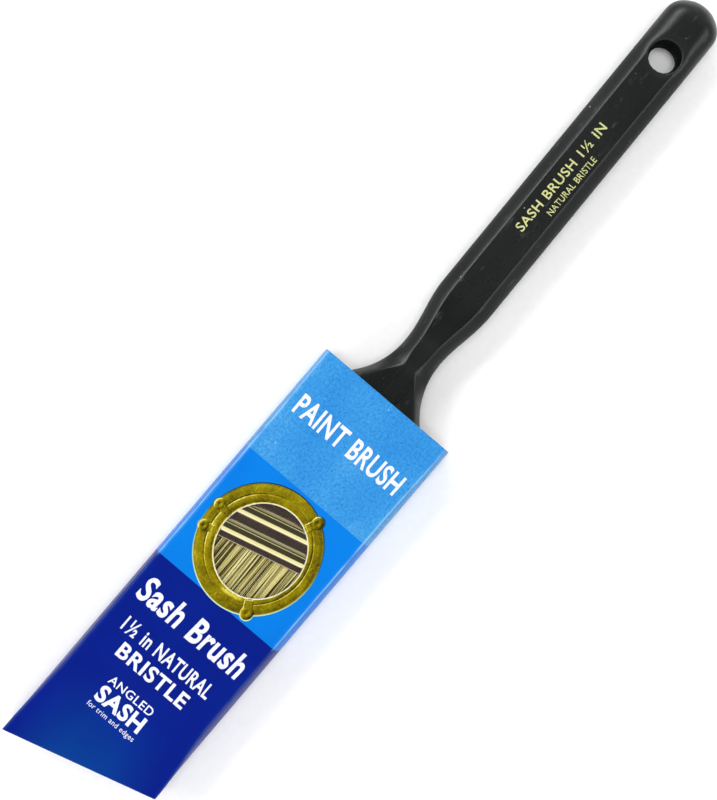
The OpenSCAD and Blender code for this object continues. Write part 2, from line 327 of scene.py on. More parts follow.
def block_edge(r0, r1, c0, c1):
    """Row and column numbers once round the edge of a block of grid points."""
    across, down = c1 - c0, r1 - r0
    rows = [np.full(across, r0), np.arange(r0, r1), np.full(across, r1), np.arange(r1, r0, -1)]
    columns = [np.arange(c0, c1), np.full(down, c1), np.arange(c1, c0, -1), np.full(down, c0)]
    return np.concatenate(rows), np.concatenate(columns)


def outside_block(rows, columns, r0, r1, c0, c1):
    """For each square of a grid, whether it lies outside the block."""
    r, c = np.meshgrid(np.arange(rows - 1), np.arange(columns), indexing="ij")
    return ~((r >= r0) & (r < r1) & (c >= c0) & (c < c1)).ravel()


def turned_to_match(first, second):
    """The second set of faces, turned over if it runs a shared edge the same way as the first set does."""
    def runs(face):
        pairs = np.stack([face, np.roll(face, -1, 1)], -1).reshape(-1, 2).astype(np.int64)
        return pairs[:, 0] * (1 << 31) + pairs[:, 1]

    return second[:, ::-1] if np.isin(runs(second), runs(first)).any() else second


def smooth(a, b, share):
    """Cosine blend from a to b as share goes from 0 to 1."""
    return a + (b - a) * (1 - np.cos(np.pi * np.clip(share, 0, 1))) / 2


# ---------------------------------------------------------------- materials


def colour(code):
    """Linear colour of an sRGB hex value: ((c + 0.055) / 1.055) ** 2.4, or c / 12.92 where it is dark."""
    c = np.array([int(code[i:i + 2], 16) for i in (1, 3, 5)]) / 255
    linear = np.where(c <= 0.04045, c / 12.92, ((c + 0.055) / 1.055) ** 2.4)
    return (*[float(x) for x in linear], 1.0)


def add(tree, kind, inputs=(), **settings):
    """Adds a node with its settings. Each input gets a value, or the output that feeds it."""
    made = tree.nodes.new(kind)
    for key, value in settings.items():
        setattr(made, key, value)
    for key, value in dict(inputs).items():
        if isinstance(value, bpy.types.NodeSocket):
            tree.links.new(value, made.inputs[key])
        else:
            made.inputs[key].default_value = value
    return made


def new_material(name, turned=False, **values):
    """Empty material, its shader and object coordinates. values are the shader's sockets, _ for spaces."""
    material = bpy.data.materials.new(name)
    material.use_nodes = True
    tree = material.node_tree
    tree.nodes.clear()
    shader = add(tree, "ShaderNodeBsdfPrincipled", {k.replace("_", " "): v for k, v in values.items()})
    add(tree, "ShaderNodeOutputMaterial", {"Surface": shader.outputs[0]})
    return material, tree, shader, place_in_mm(tree, turned)


def place_in_mm(tree, turned):
    """Object coordinates in millimetres, in the shared frame or in the sleeve's own."""
    place = add(tree, "ShaderNodeTexCoord").outputs["Object"]
    settings = {"Vector": place, "Scale": (1 / MM,) * 3}
    if turned:
        settings["Rotation"] = (0, 0, turn)
        settings["Location"] = (-mouth, -centre_y, 0)
    return add(tree, "ShaderNodeMapping", settings).outputs[0]


def noise(place, size, detail=2.0, stretch=(1, 1, 1), roughness=0.5):
    """Noise from 0 to 1 whose blotches are about size millimetres across."""
    tree = place.id_data
    if stretch != (1, 1, 1):
        place = add(tree, "ShaderNodeMapping", {"Vector": place, "Scale": stretch}).outputs[0]
    settings = {"Vector": place, "Scale": 1 / size, "Detail": detail, "Roughness": roughness}
    return add(tree, "ShaderNodeTexNoise", settings).outputs["Fac"]


def painted(tree, name):
    """Number that paint() stored on the mesh's points."""
    return add(tree, "ShaderNodeAttribute", attribute_name=name).outputs["Fac"]


def ramp(value, stops):
    """Colours or greys by value: stops are (position, hex code)."""
    made = add(value.id_data, "ShaderNodeValToRGB", {"Fac": value})
    while len(made.color_ramp.elements) < len(stops):
        made.color_ramp.elements.new(0.5)
    for element, (position, code) in zip(made.color_ramp.elements, stops):
        element.position = position
        element.color = colour(code)
    return made.outputs[0]


def span(value, low, high, out_low=0.0, out_high=1.0):
    """value carried from low..high to out_low..out_high, and held at the ends."""
    settings = {"Value": value, "From Min": low, "From Max": high, "To Min": out_low, "To Max": out_high}
    return add(value.id_data, "ShaderNodeMapRange", settings).outputs[0]


def mixed(share, first, second):
    """Mix of two colours by share. The second is a socket or a hex code."""
    second = colour(second) if isinstance(second, str) else second
    return add(share.id_data, "ShaderNodeMix", {0: share, 6: first, 7: second}, data_type="RGBA").outputs[2]


def reckon(operation, first, second=0.0):
    """One sum on two numbers."""
    return add(first.id_data, "ShaderNodeMath", {0: first, 1: second}, operation=operation).outputs[0]


def plus(first, second):
    return reckon("ADD", first, second)


def times(first, second):
    return reckon("MULTIPLY", first, second)


def bumped(shader, height, distance_mm):
    """Bump on a shader, from a height of 0 to 1 that stands for distance_mm."""
    settings = {"Height": height, "Distance": distance_mm * MM, "Strength": 1.0}
    feed(shader, "Normal", add(shader.id_data, "ShaderNodeBump", settings).outputs[0])


def feed(shader, name, value):
    """Links a value to one of the shader's sockets."""
    shader.id_data.links.new(value, shader.inputs[name])


def moulded_black_styrene():
    """Injection-moulded styrene from a polished mould: satin black, faint flow marks, scuffs and dust."""
    material, tree, shader, place = new_material("moulded_black_styrene", IOR=1.57)
    flow = noise(place, 9, 3, (0.35, 1, 1))
    body = ramp(flow, [(0.3, "#090b0c"), (0.7, "#101312")])
    scuff = span(noise(place, 3.2, 5, (0.5, 1.6, 1), 0.65), 0.61, 0.72)
    body = mixed(times(scuff, 0.25), body, "#596058")
    cells = add(tree, "ShaderNodeTexVoronoi", {"Vector": place, "Scale": 1 / 2.6, "Randomness": 1.0})
    dust = span(cells.outputs["Distance"], 0.085, 0.045)
    rare = span(noise(place, 5.5, 1), 0.58, 0.62)
    dust = times(dust, rare)
    body = mixed(times(dust, 0.8), body, "#c9cfc6")
    feed(shader, "Base Color", body)
    wear_and_sheen = plus(span(flow, 0.3, 0.7, 0.26, 0.34), times(scuff, 0.2))
    # The core pin leaves the hole's wall rough and matt.
    bore = painted(tree, "bore")
    feed(shader, "Roughness", plus(wear_and_sheen, times(bore, 0.5)))
    feed(shader, "Specular IOR Level", span(bore, 0, 1, 0.5, 0.05))
    # The mould's fine texture is about 0.1 mm, drawn at 0.35 mm so that it shows.
    skin = noise(place, 0.35, 2)
    bumped(shader, plus(skin, times(flow, 2.0)), 0.02)
    return material


def plated_steel(name):
    """Brass-plated steel strip, rolled and drawn round, with fine draw lines: smoother on the beads, as burnished,
    and duller on the flats. The beads' pale cream is a painted highlight, and the flats' browner colour a painted
    reflection of a dark room."""
    material, tree, shader, place = new_material(name, Metallic=1.0)
    patches = noise(place, 6, 4)
    # Colour by bead lift: pale cream on the beads is painted highlight, browner purple-grey on the flats is
    # painted reflection.
    flat = ramp(patches, [(0.3, "#b49e92"), (0.55, "#c2ae9a"), (0.8, "#a48e84")])
    bead = ramp(patches, [(0.3, "#efe6ae"), (0.7, "#e6dca0")])
    polish_and_sheen = painted(tree, "polish_and_sheen")
    feed(shader, "Base Color", mixed(polish_and_sheen, flat, bead))
    # Draw lines run round the strip every 0.05 mm, drawn here every 0.3 mm so that they show.
    lines = noise(place, 0.3, 2, (1, 0.02, 0.02))
    uneven = span(plus(patches, lines), 0.6, 1.4, 0.0, 0.03)
    feed(shader, "Roughness", plus(uneven, span(polish_and_sheen, 0, 1, 0.2, 0.07)))
    bumped(shader, plus(lines, times(patches, 4.0)), 0.00012)
    return material


def cast_resin():
    """Epoxy poured round the bristle butts: clear amber brown and glossy, with small trapped bubbles."""
    material, tree, shader, place = new_material("cast_amber_resin", IOR=1.55)
    cloud = noise(place, 4, 3)
    feed(shader, "Base Color", ramp(cloud, [(0.3, "#4a3413"), (0.75, "#7d5f2a")]))
    bubbles = add(tree, "ShaderNodeTexVoronoi", {"Vector": place, "Scale": 1 / 1.4}).outputs["Distance"]
    feed(shader, "Roughness", span(cloud, 0.3, 0.7, 0.1, 0.25))
    bumped(shader, span(bubbles, 0.12, 0.2), 0.08)
    return material


def sawn_softwood():
    """Sawn pine for the spacer plug: pale bands of growth along its length and a fuzzy, matt cut face."""
    material, tree, shader, place = new_material("sawn_softwood", IOR=1.5)
    settings = {"Vector": place, "Scale": 1 / 3.5, "Distortion": 2.2, "Detail": 3.0, "Detail Scale": 1.5}
    rings = add(tree, "ShaderNodeTexWave", settings, bands_direction="Y").outputs["Fac"]
    feed(shader, "Base Color", ramp(rings, [(0.2, "#c79a63"), (0.6, "#b07f49"), (0.9, "#8a5f32")]))
    fibres = noise(place, 0.5, 4, (0.08, 1, 1))
    feed(shader, "Roughness", span(fibres, 0.3, 0.7, 0.65, 0.85))
    bumped(shader, fibres, 0.08)
    return material


def hog_bristle():
    """Natural hog bristle: waxy straw-blond hairs, each its own tone, paler towards the split tips, darker along
    lock edges as painted shade.
    """
    material, tree, shader, place = new_material("natural_hog_bristle", IOR=1.55, Specular_IOR_Level=0.4)
    hair_tone_and_shade = painted(tree, "hair_tone_and_shade")
    along = painted(tree, "along")
    streak = noise(place, 1.1, 3, (0.05, 1, 1))
    shade = plus(hair_tone_and_shade, times(reckon("SUBTRACT", streak, 0.5), 0.5))
    stops = [(0.0, "#2c2408"), (0.25, "#7a6f34"), (0.55, "#b4a962"), (0.85, "#dad08c"), (1.0, "#f6efb8")]
    hair = ramp(shade, stops)
    tips = times(span(along, 0.82, 1.0), 0.45)
    feed(shader, "Base Color", mixed(tips, hair, "#e6dcb4"))
    feed(shader, "Roughness", span(hair_tone_and_shade, 0.0, 1.0, 0.5, 0.34))
    bumped(shader, noise(place, 0.12, 2, (0.2, 1, 1)), 0.01)
    return material


# Thin gloss varnish over print, which dulls the ink's own shine.
VARNISH = {"IOR": 1.5, "Specular_IOR_Level": 0.12, "Coat_Weight": 0.04, "Coat_Roughness": 0.12}


def coated_board_print():
    """Offset-printed coated board under varnish: three flat blues, mottled ink, folds paled partly by wear and
    partly as painted highlight, and painted sheen on the navy near its end.
    """
    material, tree, shader, place = new_material("offset_printed_coated_board", True, **VARNISH)
    axes = add(tree, "ShaderNodeSeparateXYZ", {0: place}).outputs
    blotch = noise(place, 14, 3, (0.7, 1, 1))
    light = ramp(blotch, [(0.3, "#2e88ce"), (0.55, "#3c94d4"), (0.75, "#58a6dc")])
    # Screen mottle of about 0.25 mm, drawn at 0.7 mm so that it shows.
    mottle = noise(place, 0.7, 4, (1, 1, 1), 0.75)
    light = mixed(times(span(mottle, 0.42, 0.6), 0.62), light, "#1e6cb6")
    # Missed dots: dark and pale flecks a few millimetres apart, some drawn out across the sheet.
    cells = add(tree, "ShaderNodeTexVoronoi", {"Vector": place, "Scale": 1 / 1.7, "Randomness": 1.0})
    kinds = add(tree, "ShaderNodeSeparateColor", {0: cells.outputs["Color"]}).outputs
    fleck = span(times(cells.outputs["Distance"], mottle), 0.075, 0.05)
    dark_fleck = times(fleck, span(kinds[0], 0.25, 0.28))
    pale_fleck = times(fleck, span(kinds[0], 0.12, 0.09))
    light = mixed(times(dark_fleck, 0.75), light, "#1a62a8")
    light = mixed(times(pale_fleck, 0.6), light, "#94ccec")
    blue = ramp(blotch, [(0.3, "#006ecc"), (0.7, "#0076d4")])
    navy = ramp(blotch, [(0.3, "#001678"), (0.7, "#001c80")])
    # Painted sheen: near the closed end, across the middle, the navy turns a lighter teal, standing in for light
    # off the front where it dips.
    near_end = span(axes[0], -102, -126)
    in_middle = span(reckon("ABSOLUTE", axes[1]), 19, 6)
    painted_sheen_near_end = times(times(near_end, in_middle), 0.55)
    navy = mixed(painted_sheen_near_end, navy, "#00488c")
    ink = mixed(span(axes[0], -LIGHT_BAND_END + 0.05, -LIGHT_BAND_END - 0.05), light, blue)
    ink = mixed(span(axes[0], -BLUE_BAND_END + 0.05, -BLUE_BAND_END - 0.05), ink, navy)
    crease = painted(tree, "crease")
    flecks = span(noise(place, 1.6, 4, (0.25, 1, 1)), 0.35, 0.6, 0.35, 1.0)
    # The folds are paled, partly as coating worn through and partly as painted highlight; the dark ink goes right
    # through its coating, so in the navy they hardly pale.
    fold_paling = span(axes[0], -BLUE_BAND_END + 1, -BLUE_BAND_END - 1, 0.7, 0.08)
    wear_and_sheen = times(times(crease, flecks), fold_paling)
    ink = mixed(wear_and_sheen, ink, "#9ad2fa")
    feed(shader, "Base Color", ink)
    feed(shader, "Roughness", span(mottle, 0.3, 0.7, 0.34, 0.42))
    # Board fibres lift the varnish a little, in lumps of about 0.4 mm.
    bumped(shader, plus(mottle, noise(place, 0.4, 3)), 0.008)
    return material


def bare_board():
    """Uncoated back and cut edges of the board: warm grey-white pulp with visible fibres, fully matt."""
    material, _, shader, place = new_material("bare_pulp_board", IOR=1.45, Specular_IOR_Level=0.25)
    fibres = noise(place, 0.6, 5, (0.4, 1, 1), 0.7)
    pulp = ramp(fibres, [(0.3, "#cdcac2"), (0.55, "#e0ded8"), (0.8, "#eeedea")])
    specks = span(noise(place, 0.9, 1), 0.7, 0.75)
    feed(shader, "Base Color", mixed(specks, pulp, "#a39c8c"))
    feed(shader, "Roughness", span(fibres, 0.3, 0.7, 0.8, 0.95))
    bumped(shader, fibres, 0.04)
    return material


def opaque_ink(name, pale, dark, size):
    """Solid opaque ink or foil over the print: an even film with a faint mottle where it took less well."""
    material, _, shader, place = new_material(name, IOR=1.5, Coat_Weight=0.2)
    taken = noise(place, size, 4, (1, 1, 1), 0.65)
    feed(shader, "Base Color", ramp(taken, [(0.32, dark), (0.5, pale)]))
    feed(shader, "Roughness", span(taken, 0.3, 0.7, 0.45, 0.35))
    bumped(shader, taken, 0.006)
    return material


def brass_picture_ink():
    """Four-colour picture of a brass ring: olive golds laid by tone, speckled by the screen, varnished."""
    material, tree, shader, place = new_material("printed_brass_picture", True, **VARNISH)
    tone = painted(tree, "tone")
    rim = painted(tree, "rim")
    rim_tone = painted(tree, "rim_tone")
    speckle = reckon("SUBTRACT", noise(place, 0.75, 4, (1, 1, 1), 0.75), 0.5)
    shade = plus(tone, times(speckle, 0.8))
    stops = [(0.0, "#2e2a00"), (0.25, "#5c5200"), (0.45, "#807300"), (0.62, "#9a8c0c")]
    stops += [(0.8, "#cdc04e"), (1.0, "#f0e8a0")]
    gold = ramp(shade, stops)
    red_dots = span(noise(place, 0.8, 2, (1, 1, 1), 0.6), 0.66, 0.7)
    gold = mixed(times(red_dots, 0.6), gold, "#a8603c")
    outline = ramp(rim_tone, [(0.0, "#062c48"), (0.4, "#2c5c5c"), (0.6, "#86a878"), (1.0, "#c4d8a4")])
    feed(shader, "Base Color", mixed(rim, gold, outline))
    feed(shader, "Roughness", span(speckle, -0.2, 0.2, 0.42, 0.32))
    bumped(shader, noise(place, 0.4, 3), 0.006)
    return material


def matt_paper_floor():
    """Roll of pale seamless paper that the brush lies on: matt and even, with a faint tooth."""
    material, _, shader, place = new_material("seamless_paper_floor", Specular_IOR_Level=0.2)
    tooth = noise(place, 2.0, 3)
    feed(shader, "Base Color", ramp(tooth, [(0.35, "#f8f8f8"), (0.65, "#fbfbfb")]))
    feed(shader, "Roughness", span(tooth, 0.3, 0.7, 0.9, 0.95))
    return material


styrene = moulded_black_styrene()
ferrule_steel = plated_steel("brass_plated_steel_strip")
nail_steel = plated_steel("brass_plated_nail_wire")
resin = cast_resin()
softwood = sawn_softwood()
bristle = hog_bristle()
board_print = coated_board_print()
board_bare = bare_board()
white_ink = opaque_ink("opaque_white_ink", "#e4e6f4", "#c8cfe6", 0.8)
stamp_foil = opaque_ink("hot_stamped_yellow_foil", "#c9cc8a", "#747a4a", 0.35)
brass_picture = brass_picture_ink()

# ---------------------------------------------------------------- handle

arc_rise = FLARE_R * (1 - math.cos(FLARE_ANGLE))
arc_run = FLARE_R * math.sin(FLARE_ANGLE)
line_run = (ferrule_w / 2 - NECK_W / 2 - arc_rise) / math.tan(FLARE_ANGLE)
neck_u = SHOULDER_L + line_run + arc_run
head_u = neck_u - HEAD_POINT
tip_u = handle_l - TIP_L
corner_run = SHOULDER_R * math.tan(FLARE_ANGLE / 2)
corner_end_u = SHOULDER_L + corner_run * math.cos(FLARE_ANGLE)
corner_start_u = SHOULDER_L - corner_run


def handle_sizes(u):
    """Half width and thickness, bevel width, depth and roundness of the handle at distance u.

    Half width: the ferrule's, a rounded corner, a straight flare, a hollow arc, the neck blended into the
    grip, then a half ellipse. Thickness: the ferrule's, scooped to the neck's, blended to the grip's, then
    rounded off.
    """
    s = np.clip((u - tip_u) / TIP_L, 0, 1)
    below = u - corner_start_u
    half_w = np.select(
        [u >= tip_u, u >= neck_u, u >= neck_u - arc_run, u >= corner_end_u, u >= corner_start_u],
        [
            GRIP_W / 2 * np.sqrt(np.maximum(1 - s**2, 0)),
            smooth(NECK_W, GRIP_W, (u - neck_u) / SWELL_L) / 2,
            NECK_W / 2 + FLARE_R - np.sqrt(np.maximum(FLARE_R**2 - (neck_u - u) ** 2, 0)),
            ferrule_w / 2 - (u - SHOULDER_L) * math.tan(FLARE_ANGLE),
            ferrule_w / 2 - SHOULDER_R + np.sqrt(np.maximum(SHOULDER_R**2 - below**2, 0)),
        ],
        ferrule_w / 2,
    )
    half_t = np.select(
        [u >= tip_u, u >= neck_u],
        [
            GRIP_T / 2 * np.sqrt(np.maximum(1 - s**2.6, 0)),
            smooth(NECK_T, GRIP_T, (u - neck_u) / SWELL_L) / 2,
        ],
        NECK_T / 2,
    )
    scoop = (u - head_u + SCOOP_BEFORE) / (HEAD_POINT + SCOOP_BEFORE + SCOOP_AFTER)
    half_t = half_t + smooth((ferrule_t - NECK_T) / 2, 0, scoop)
    at_corner = np.clip((corner_end_u - u) / corner_end_u, 0, 1)
    neck_bevel = (NECK_W - NECK_FACE_W) / 2
    flat = HEAD_POINT_FACE / 2
    bevel_w = np.select(
        [u >= neck_u, u >= head_u],
        [
            smooth(neck_bevel, (GRIP_W - GRIP_FACE_W) / 2, (u - neck_u) / SWELL_L),
            smooth(half_w - flat, neck_bevel, (u - head_u) / HEAD_POINT),
        ],
        smooth(
            np.maximum(HEAD_BEVEL, half_w - flat - (head_u - u) * HEAD_FACE_SPREAD), FERRULE_R, at_corner
        ),
    )
    bevel_t = np.where(u >= head_u, BEVEL_T, smooth(np.minimum(bevel_w, BEVEL_T), FERRULE_R, at_corner))
    fade = smooth(0, 1, (u - (tip_u - TIP_FADE_L)) / (TIP_FADE_L + TIP_L))
    most = 0.8 + 0.15 * fade
    bevel_w = np.minimum(bevel_w + TIP_BEVEL_W * fade, half_w * most)
    bevel_t = np.minimum(bevel_t + TIP_BEVEL_T * fade, half_t * most)
    bevel_round = smooth(BEVEL_ROUND, ROUND, at_corner) + TIP_BEVEL_ROUND * fade
    return half_w, half_t, bevel_w, bevel_t, bevel_round


def face_height(u, y):
    """Height of the handle's face over its mid plane: the flat, less a superellipse bevel outwards."""
    half_w, half_t, bevel_w, bevel_t, n = handle_sizes(u)
    q = np.clip((np.abs(y) - (half_w - bevel_w)) / np.maximum(bevel_w, 1e-6), 0, 1)
    return half_t - bevel_t + bevel_t * (1 - q**n) ** (1 / n)


def handle_ring(half_w, half_t, bevel_w, bevel_t, n):
    """Sections across the handle, a row each: up the side, over the bevel, across the face, then mirrored."""
    side = np.array([0.012, 0.035, 0.1, 0.3, 0.6, 0.85])
    phi = np.linspace(np.pi / 2, 0, 19)
    flat = np.linspace(1, 0, 10)[1:]
    column = [a[:, None] for a in (half_w, half_t, bevel_w, bevel_t, n)]
    half_w, half_t, bevel_w, bevel_t, n = column
    wall = half_t - bevel_t
    side_z = side * wall
    side_y = half_w + PARTING_H * np.exp(-((side_z / PARTING_W) ** 2)) * (half_w > 1)
    bevel_y = half_w - bevel_w + bevel_w * np.sin(phi) ** (2 / n)
    bevel_z = wall + bevel_t * np.maximum(np.cos(phi), 0) ** (2 / n)
    flat_y = (half_w - bevel_w) * flat
    y = np.concatenate([side_y, bevel_y, flat_y], 1)
    z = np.concatenate([side_z, bevel_z, half_t + 0 * flat_y], 1)
    upper_y = np.concatenate([y, -y[:, -2::-1]], 1)
    upper_z = np.concatenate([z, z[:, -2::-1]], 1)
    y = np.concatenate([upper_y, upper_y[:, ::-1]], 1)
    z = np.concatenate([upper_z, -upper_z[:, ::-1]], 1)
    return y, z


def make_handle():
    """Sections carried along the handle, with the hole let in as rays from its rim to a block of the grid."""
    tip_turn = np.linspace(0, np.pi / 2, 34)[:-1]
    u = np.concatenate([
        np.linspace(0, neck_u, 110)[:-1],
        np.linspace(neck_u, neck_u + SWELL_L, 60)[:-1],
        np.linspace(neck_u + SWELL_L, tip_u, 190)[:-1],
        tip_u + TIP_L * np.sin(tip_turn),
    ])
    sizes = handle_sizes(u)
    inner_r = FERRULE_R - ferrule_wall
    root = np.array([[inner_w / 2, inner_t / 2, inner_r, inner_r, ROUND]] * 2)
    sizes = [np.concatenate([root[:, i], s]) for i, s in enumerate(sizes)]
    y, z = handle_ring(*sizes)
    x = np.concatenate([[handle_low[0], ferrule_x], ferrule_x + u])[:, None] + 0 * y
    rows, columns = y.shape
    index = np.arange(rows * columns).reshape(rows, columns)
    points = [np.stack([x, y, mid_z + z], -1).reshape(-1, 3)]
    half = columns // 2
    # The hole's rays start at this column of the section, partway over the bevel.
    first = HOLE_PATCH_FROM
    r0 = int(np.searchsorted(x[:, 0], hole_x - HOLE_PATCH_BEFORE))
    r1 = int(np.searchsorted(x[:, 0], hole_x + HOLE_PATCH_AFTER))
    keep = outside_block(rows, columns, r0, r1, first, half - 1 - first)
    keep &= outside_block(rows, columns, r0, r1, half + first, columns - 1 - first)
    skin = quads(index, close_columns=True)[keep]

    edge_rows, edge_columns = block_edge(r0, r1, first, half - 1 - first)
    top_edge = index[edge_rows, edge_columns]
    low_edge = index[edge_rows, columns - 1 - edge_columns]
    away = points[0][top_edge, :2] - (hole_x, 0)
    reach = np.hypot(away[:, 0], away[:, 1])
    away /= reach[:, None]

    share = np.linspace(0, 1, 15)[1:, None]
    spread = reach * (1 - share) + (hole_r + HOLE_DRAFT + LIP_ROUND) * share
    level = face_height(hole_x + away[:, 0] * spread - ferrule_x, away[:, 1] * spread)
    level = level - DISH_DEPTH * np.exp(-(((spread - hole_r) / DISH_W) ** 2)) * smooth(0, 1, 2 * share)
    bend = np.linspace(0, np.pi / 2, 9)[1:, None]
    lip_radius = hole_r + HOLE_DRAFT + LIP_ROUND * (1 - np.sin(bend)) + 0 * reach
    lip_level = level[-1] - LIP_ROUND * (1 - np.cos(bend))
    part = np.linspace(0, 1, 9)[1:, None]
    wall_radius = hole_r + HOLE_DRAFT * (1 - part) ** 1.3 + 0 * reach
    wall_level = lip_level[-1] * (1 - part) + HOLE_LAND * part
    radius = np.concatenate([spread, lip_radius, wall_radius])
    level = np.concatenate([level, lip_level, wall_level])
    radius = np.concatenate([radius, radius[::-1]])
    level = np.concatenate([level, -level[::-1]])
    hole_points = np.stack([hole_x + away[:, 0] * radius, away[:, 1] * radius, mid_z + level], -1)
    hole_index = rows * columns + np.arange(radius.size).reshape(radius.shape)
    hole_index = np.concatenate([top_edge[None], hole_index, low_edge[None]])
    points.append(hole_points.reshape(-1, 3))
    hole = quads(hole_index, close_columns=True)

    pole = rows * columns + radius.size
    points.append(np.array([[ferrule_x + handle_l, 0, mid_z]]))
    last = index[-1]
    end = np.stack([last, np.roll(last, -1), np.full(columns, pole)], -1)
    cap = np.stack([index[0, :half - 1], index[0, columns - 1:half:-1],
                    index[0, columns - 2:half - 1:-1], index[0, 1:half]], -1)
    everything = np.concatenate(points)
    hole = turned_to_match(skin, hole)
    cap = turned_to_match(skin, cap)
    end = turned_to_match(skin, end)
    everything, faces, _ = used_only(everything, [np.concatenate([skin, hole, cap]), end])
    piece = build("moulded_handle", everything, faces, [styrene], "brush", sharp=50)
    from_hole = np.hypot(everything[:, 0] - hole_x, everything[:, 1])
    paint(piece, "bore", np.clip((hole_r + HOLE_DRAFT + BORE_FADE - from_hole) / BORE_FADE, 0, 1))
    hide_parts("handle")


# ---------------------------------------------------------------- ferrule and nails


def bar_ring(width, thick, radius, face_steps=64, side_steps=26, corner_steps=9):
    """Once round a bar with rounded corners, face, corner, side and so on: places and outward directions."""
    places, directions = [], []
    flat_y, flat_z = width / 2 - radius, thick / 2 - radius
    for k in range(4):
        along_face = k % 2 == 0
        steps = face_steps if along_face else side_steps
        s = np.linspace(-1, 1, steps)
        start = np.pi / 2 - k * np.pi / 2
        out = np.array([math.cos(start), math.sin(start)])
        run = np.array([out[1], -out[0]])
        half_run = flat_y if along_face else flat_z
        stand = thick / 2 if along_face else width / 2
        places.append(out * stand + s[:, None] * run * half_run)
        directions.append(out + 0 * s[:, None] * run)
        bend = start - np.linspace(0, np.pi / 2, corner_steps + 2)[1:-1]
        round_out = np.stack([np.cos(bend), np.sin(bend)], -1)
        corner = out * (stand - radius) + run * half_run
        places.append(corner + round_out * radius)
        directions.append(round_out)
    return np.concatenate(places), np.concatenate(directions)


def bead_profile(d):
    """How far the strip stands out, d above its lower edge: two rolled beads between shallow creases."""
    lift = 0 * d
    for centre in (BEAD_OFFSET, BEAD_OFFSET + BEAD_PITCH):
        s = np.abs(d - centre) / (BEAD_W / 2)
        lift = np.maximum(lift, bead_h * np.maximum(1 - s**2, 0) ** BEAD_POWER)
        lift = lift - CREASE_DEPTH * np.exp(-(((s - CREASE_AT) / CREASE_SPREAD) ** 2))
    return lift


def make_ferrule():
    """A ring carried up from the slanted lower edge to the straight top, outside then back down inside."""
    bead_top = BEAD_OFFSET + BEAD_PITCH + BEAD_W
    low = np.linspace(FIRST_ROW, bead_top, 96)
    high = np.linspace(0, 1, 46)[1:]
    ring, out = bar_ring(ferrule_w, ferrule_t, FERRULE_R)
    lower_x = edge_x - ring[:, 0] * math.tan(FERRULE_SLANT)

    def row_x(d, share):
        """Place along X: d above the slanted edge, then a share of the way to the top edge."""
        x = lower_x + d / math.cos(FERRULE_SLANT)
        return x + (ferrule_x - x) * share

    x = np.concatenate([row_x(low[:, None], 0.0), row_x(bead_top, high[:, None])])
    lift = np.concatenate([bead_profile(low), 0 * high])[:, None] + 0 * x
    on_side = ring[:, 0] < -ferrule_w / 2 + FLAT_SLACK
    seam = on_side * smooth(1, 0, (np.abs(ring[:, 1]) - SEAM_W / 2) / SEAM_FADE)
    lift = lift + SEAM_H * seam
    to_nail = np.hypot(x - (ferrule_x - NAIL_FROM_TOP), np.abs(ring[:, 0]) - NAIL_GAP / 2)
    on_face = np.abs(ring[:, 1]) > ferrule_t / 2 - FLAT_SLACK
    lift = lift - DENT_DEPTH * on_face * np.exp(-((to_nail / DENT_R) ** 2))
    # Each cut edge is eased over from the outside and from the inside.
    stand_in = -np.array([EDGE_ROUND, ferrule_wall / 2, ferrule_wall - EDGE_ROUND])[:, None]
    edge_out = stand_in + 0 * lower_x
    edge_x_rows = np.stack([row_x(d, 0.0) for d in (EDGE_SETBACK, 0.0, EDGE_SETBACK)])
    top_out = edge_out[::2]
    rows_x = np.concatenate([edge_x_rows[:2], x, np.full(top_out.shape, ferrule_x), x[::-1], edge_x_rows[2:]])
    rows_out = np.concatenate([edge_out[1::-1], lift, top_out, lift[::-1] - ferrule_wall, edge_out[2:]])
    y = ring[:, 0] + out[:, 0] * rows_out
    z = ring[:, 1] + out[:, 1] * rows_out
    points = np.stack([rows_x, y, mid_z + z], -1)
    index = np.arange(rows_x.size).reshape(rows_x.shape)
    faces = quads(index, close_columns=True, close_rows=True)
    piece = build("rolled_ferrule", points.reshape(-1, 3), [faces], [ferrule_steel], "brush")
    # How far the strip stands out sets its smoothness and its colour: painted highlight on the beads, painted
    # reflection on the flats.
    paint(piece, "polish_and_sheen", np.clip(rows_out / (0.3 * bead_h), 0, 1).ravel())
    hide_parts("ferrule")


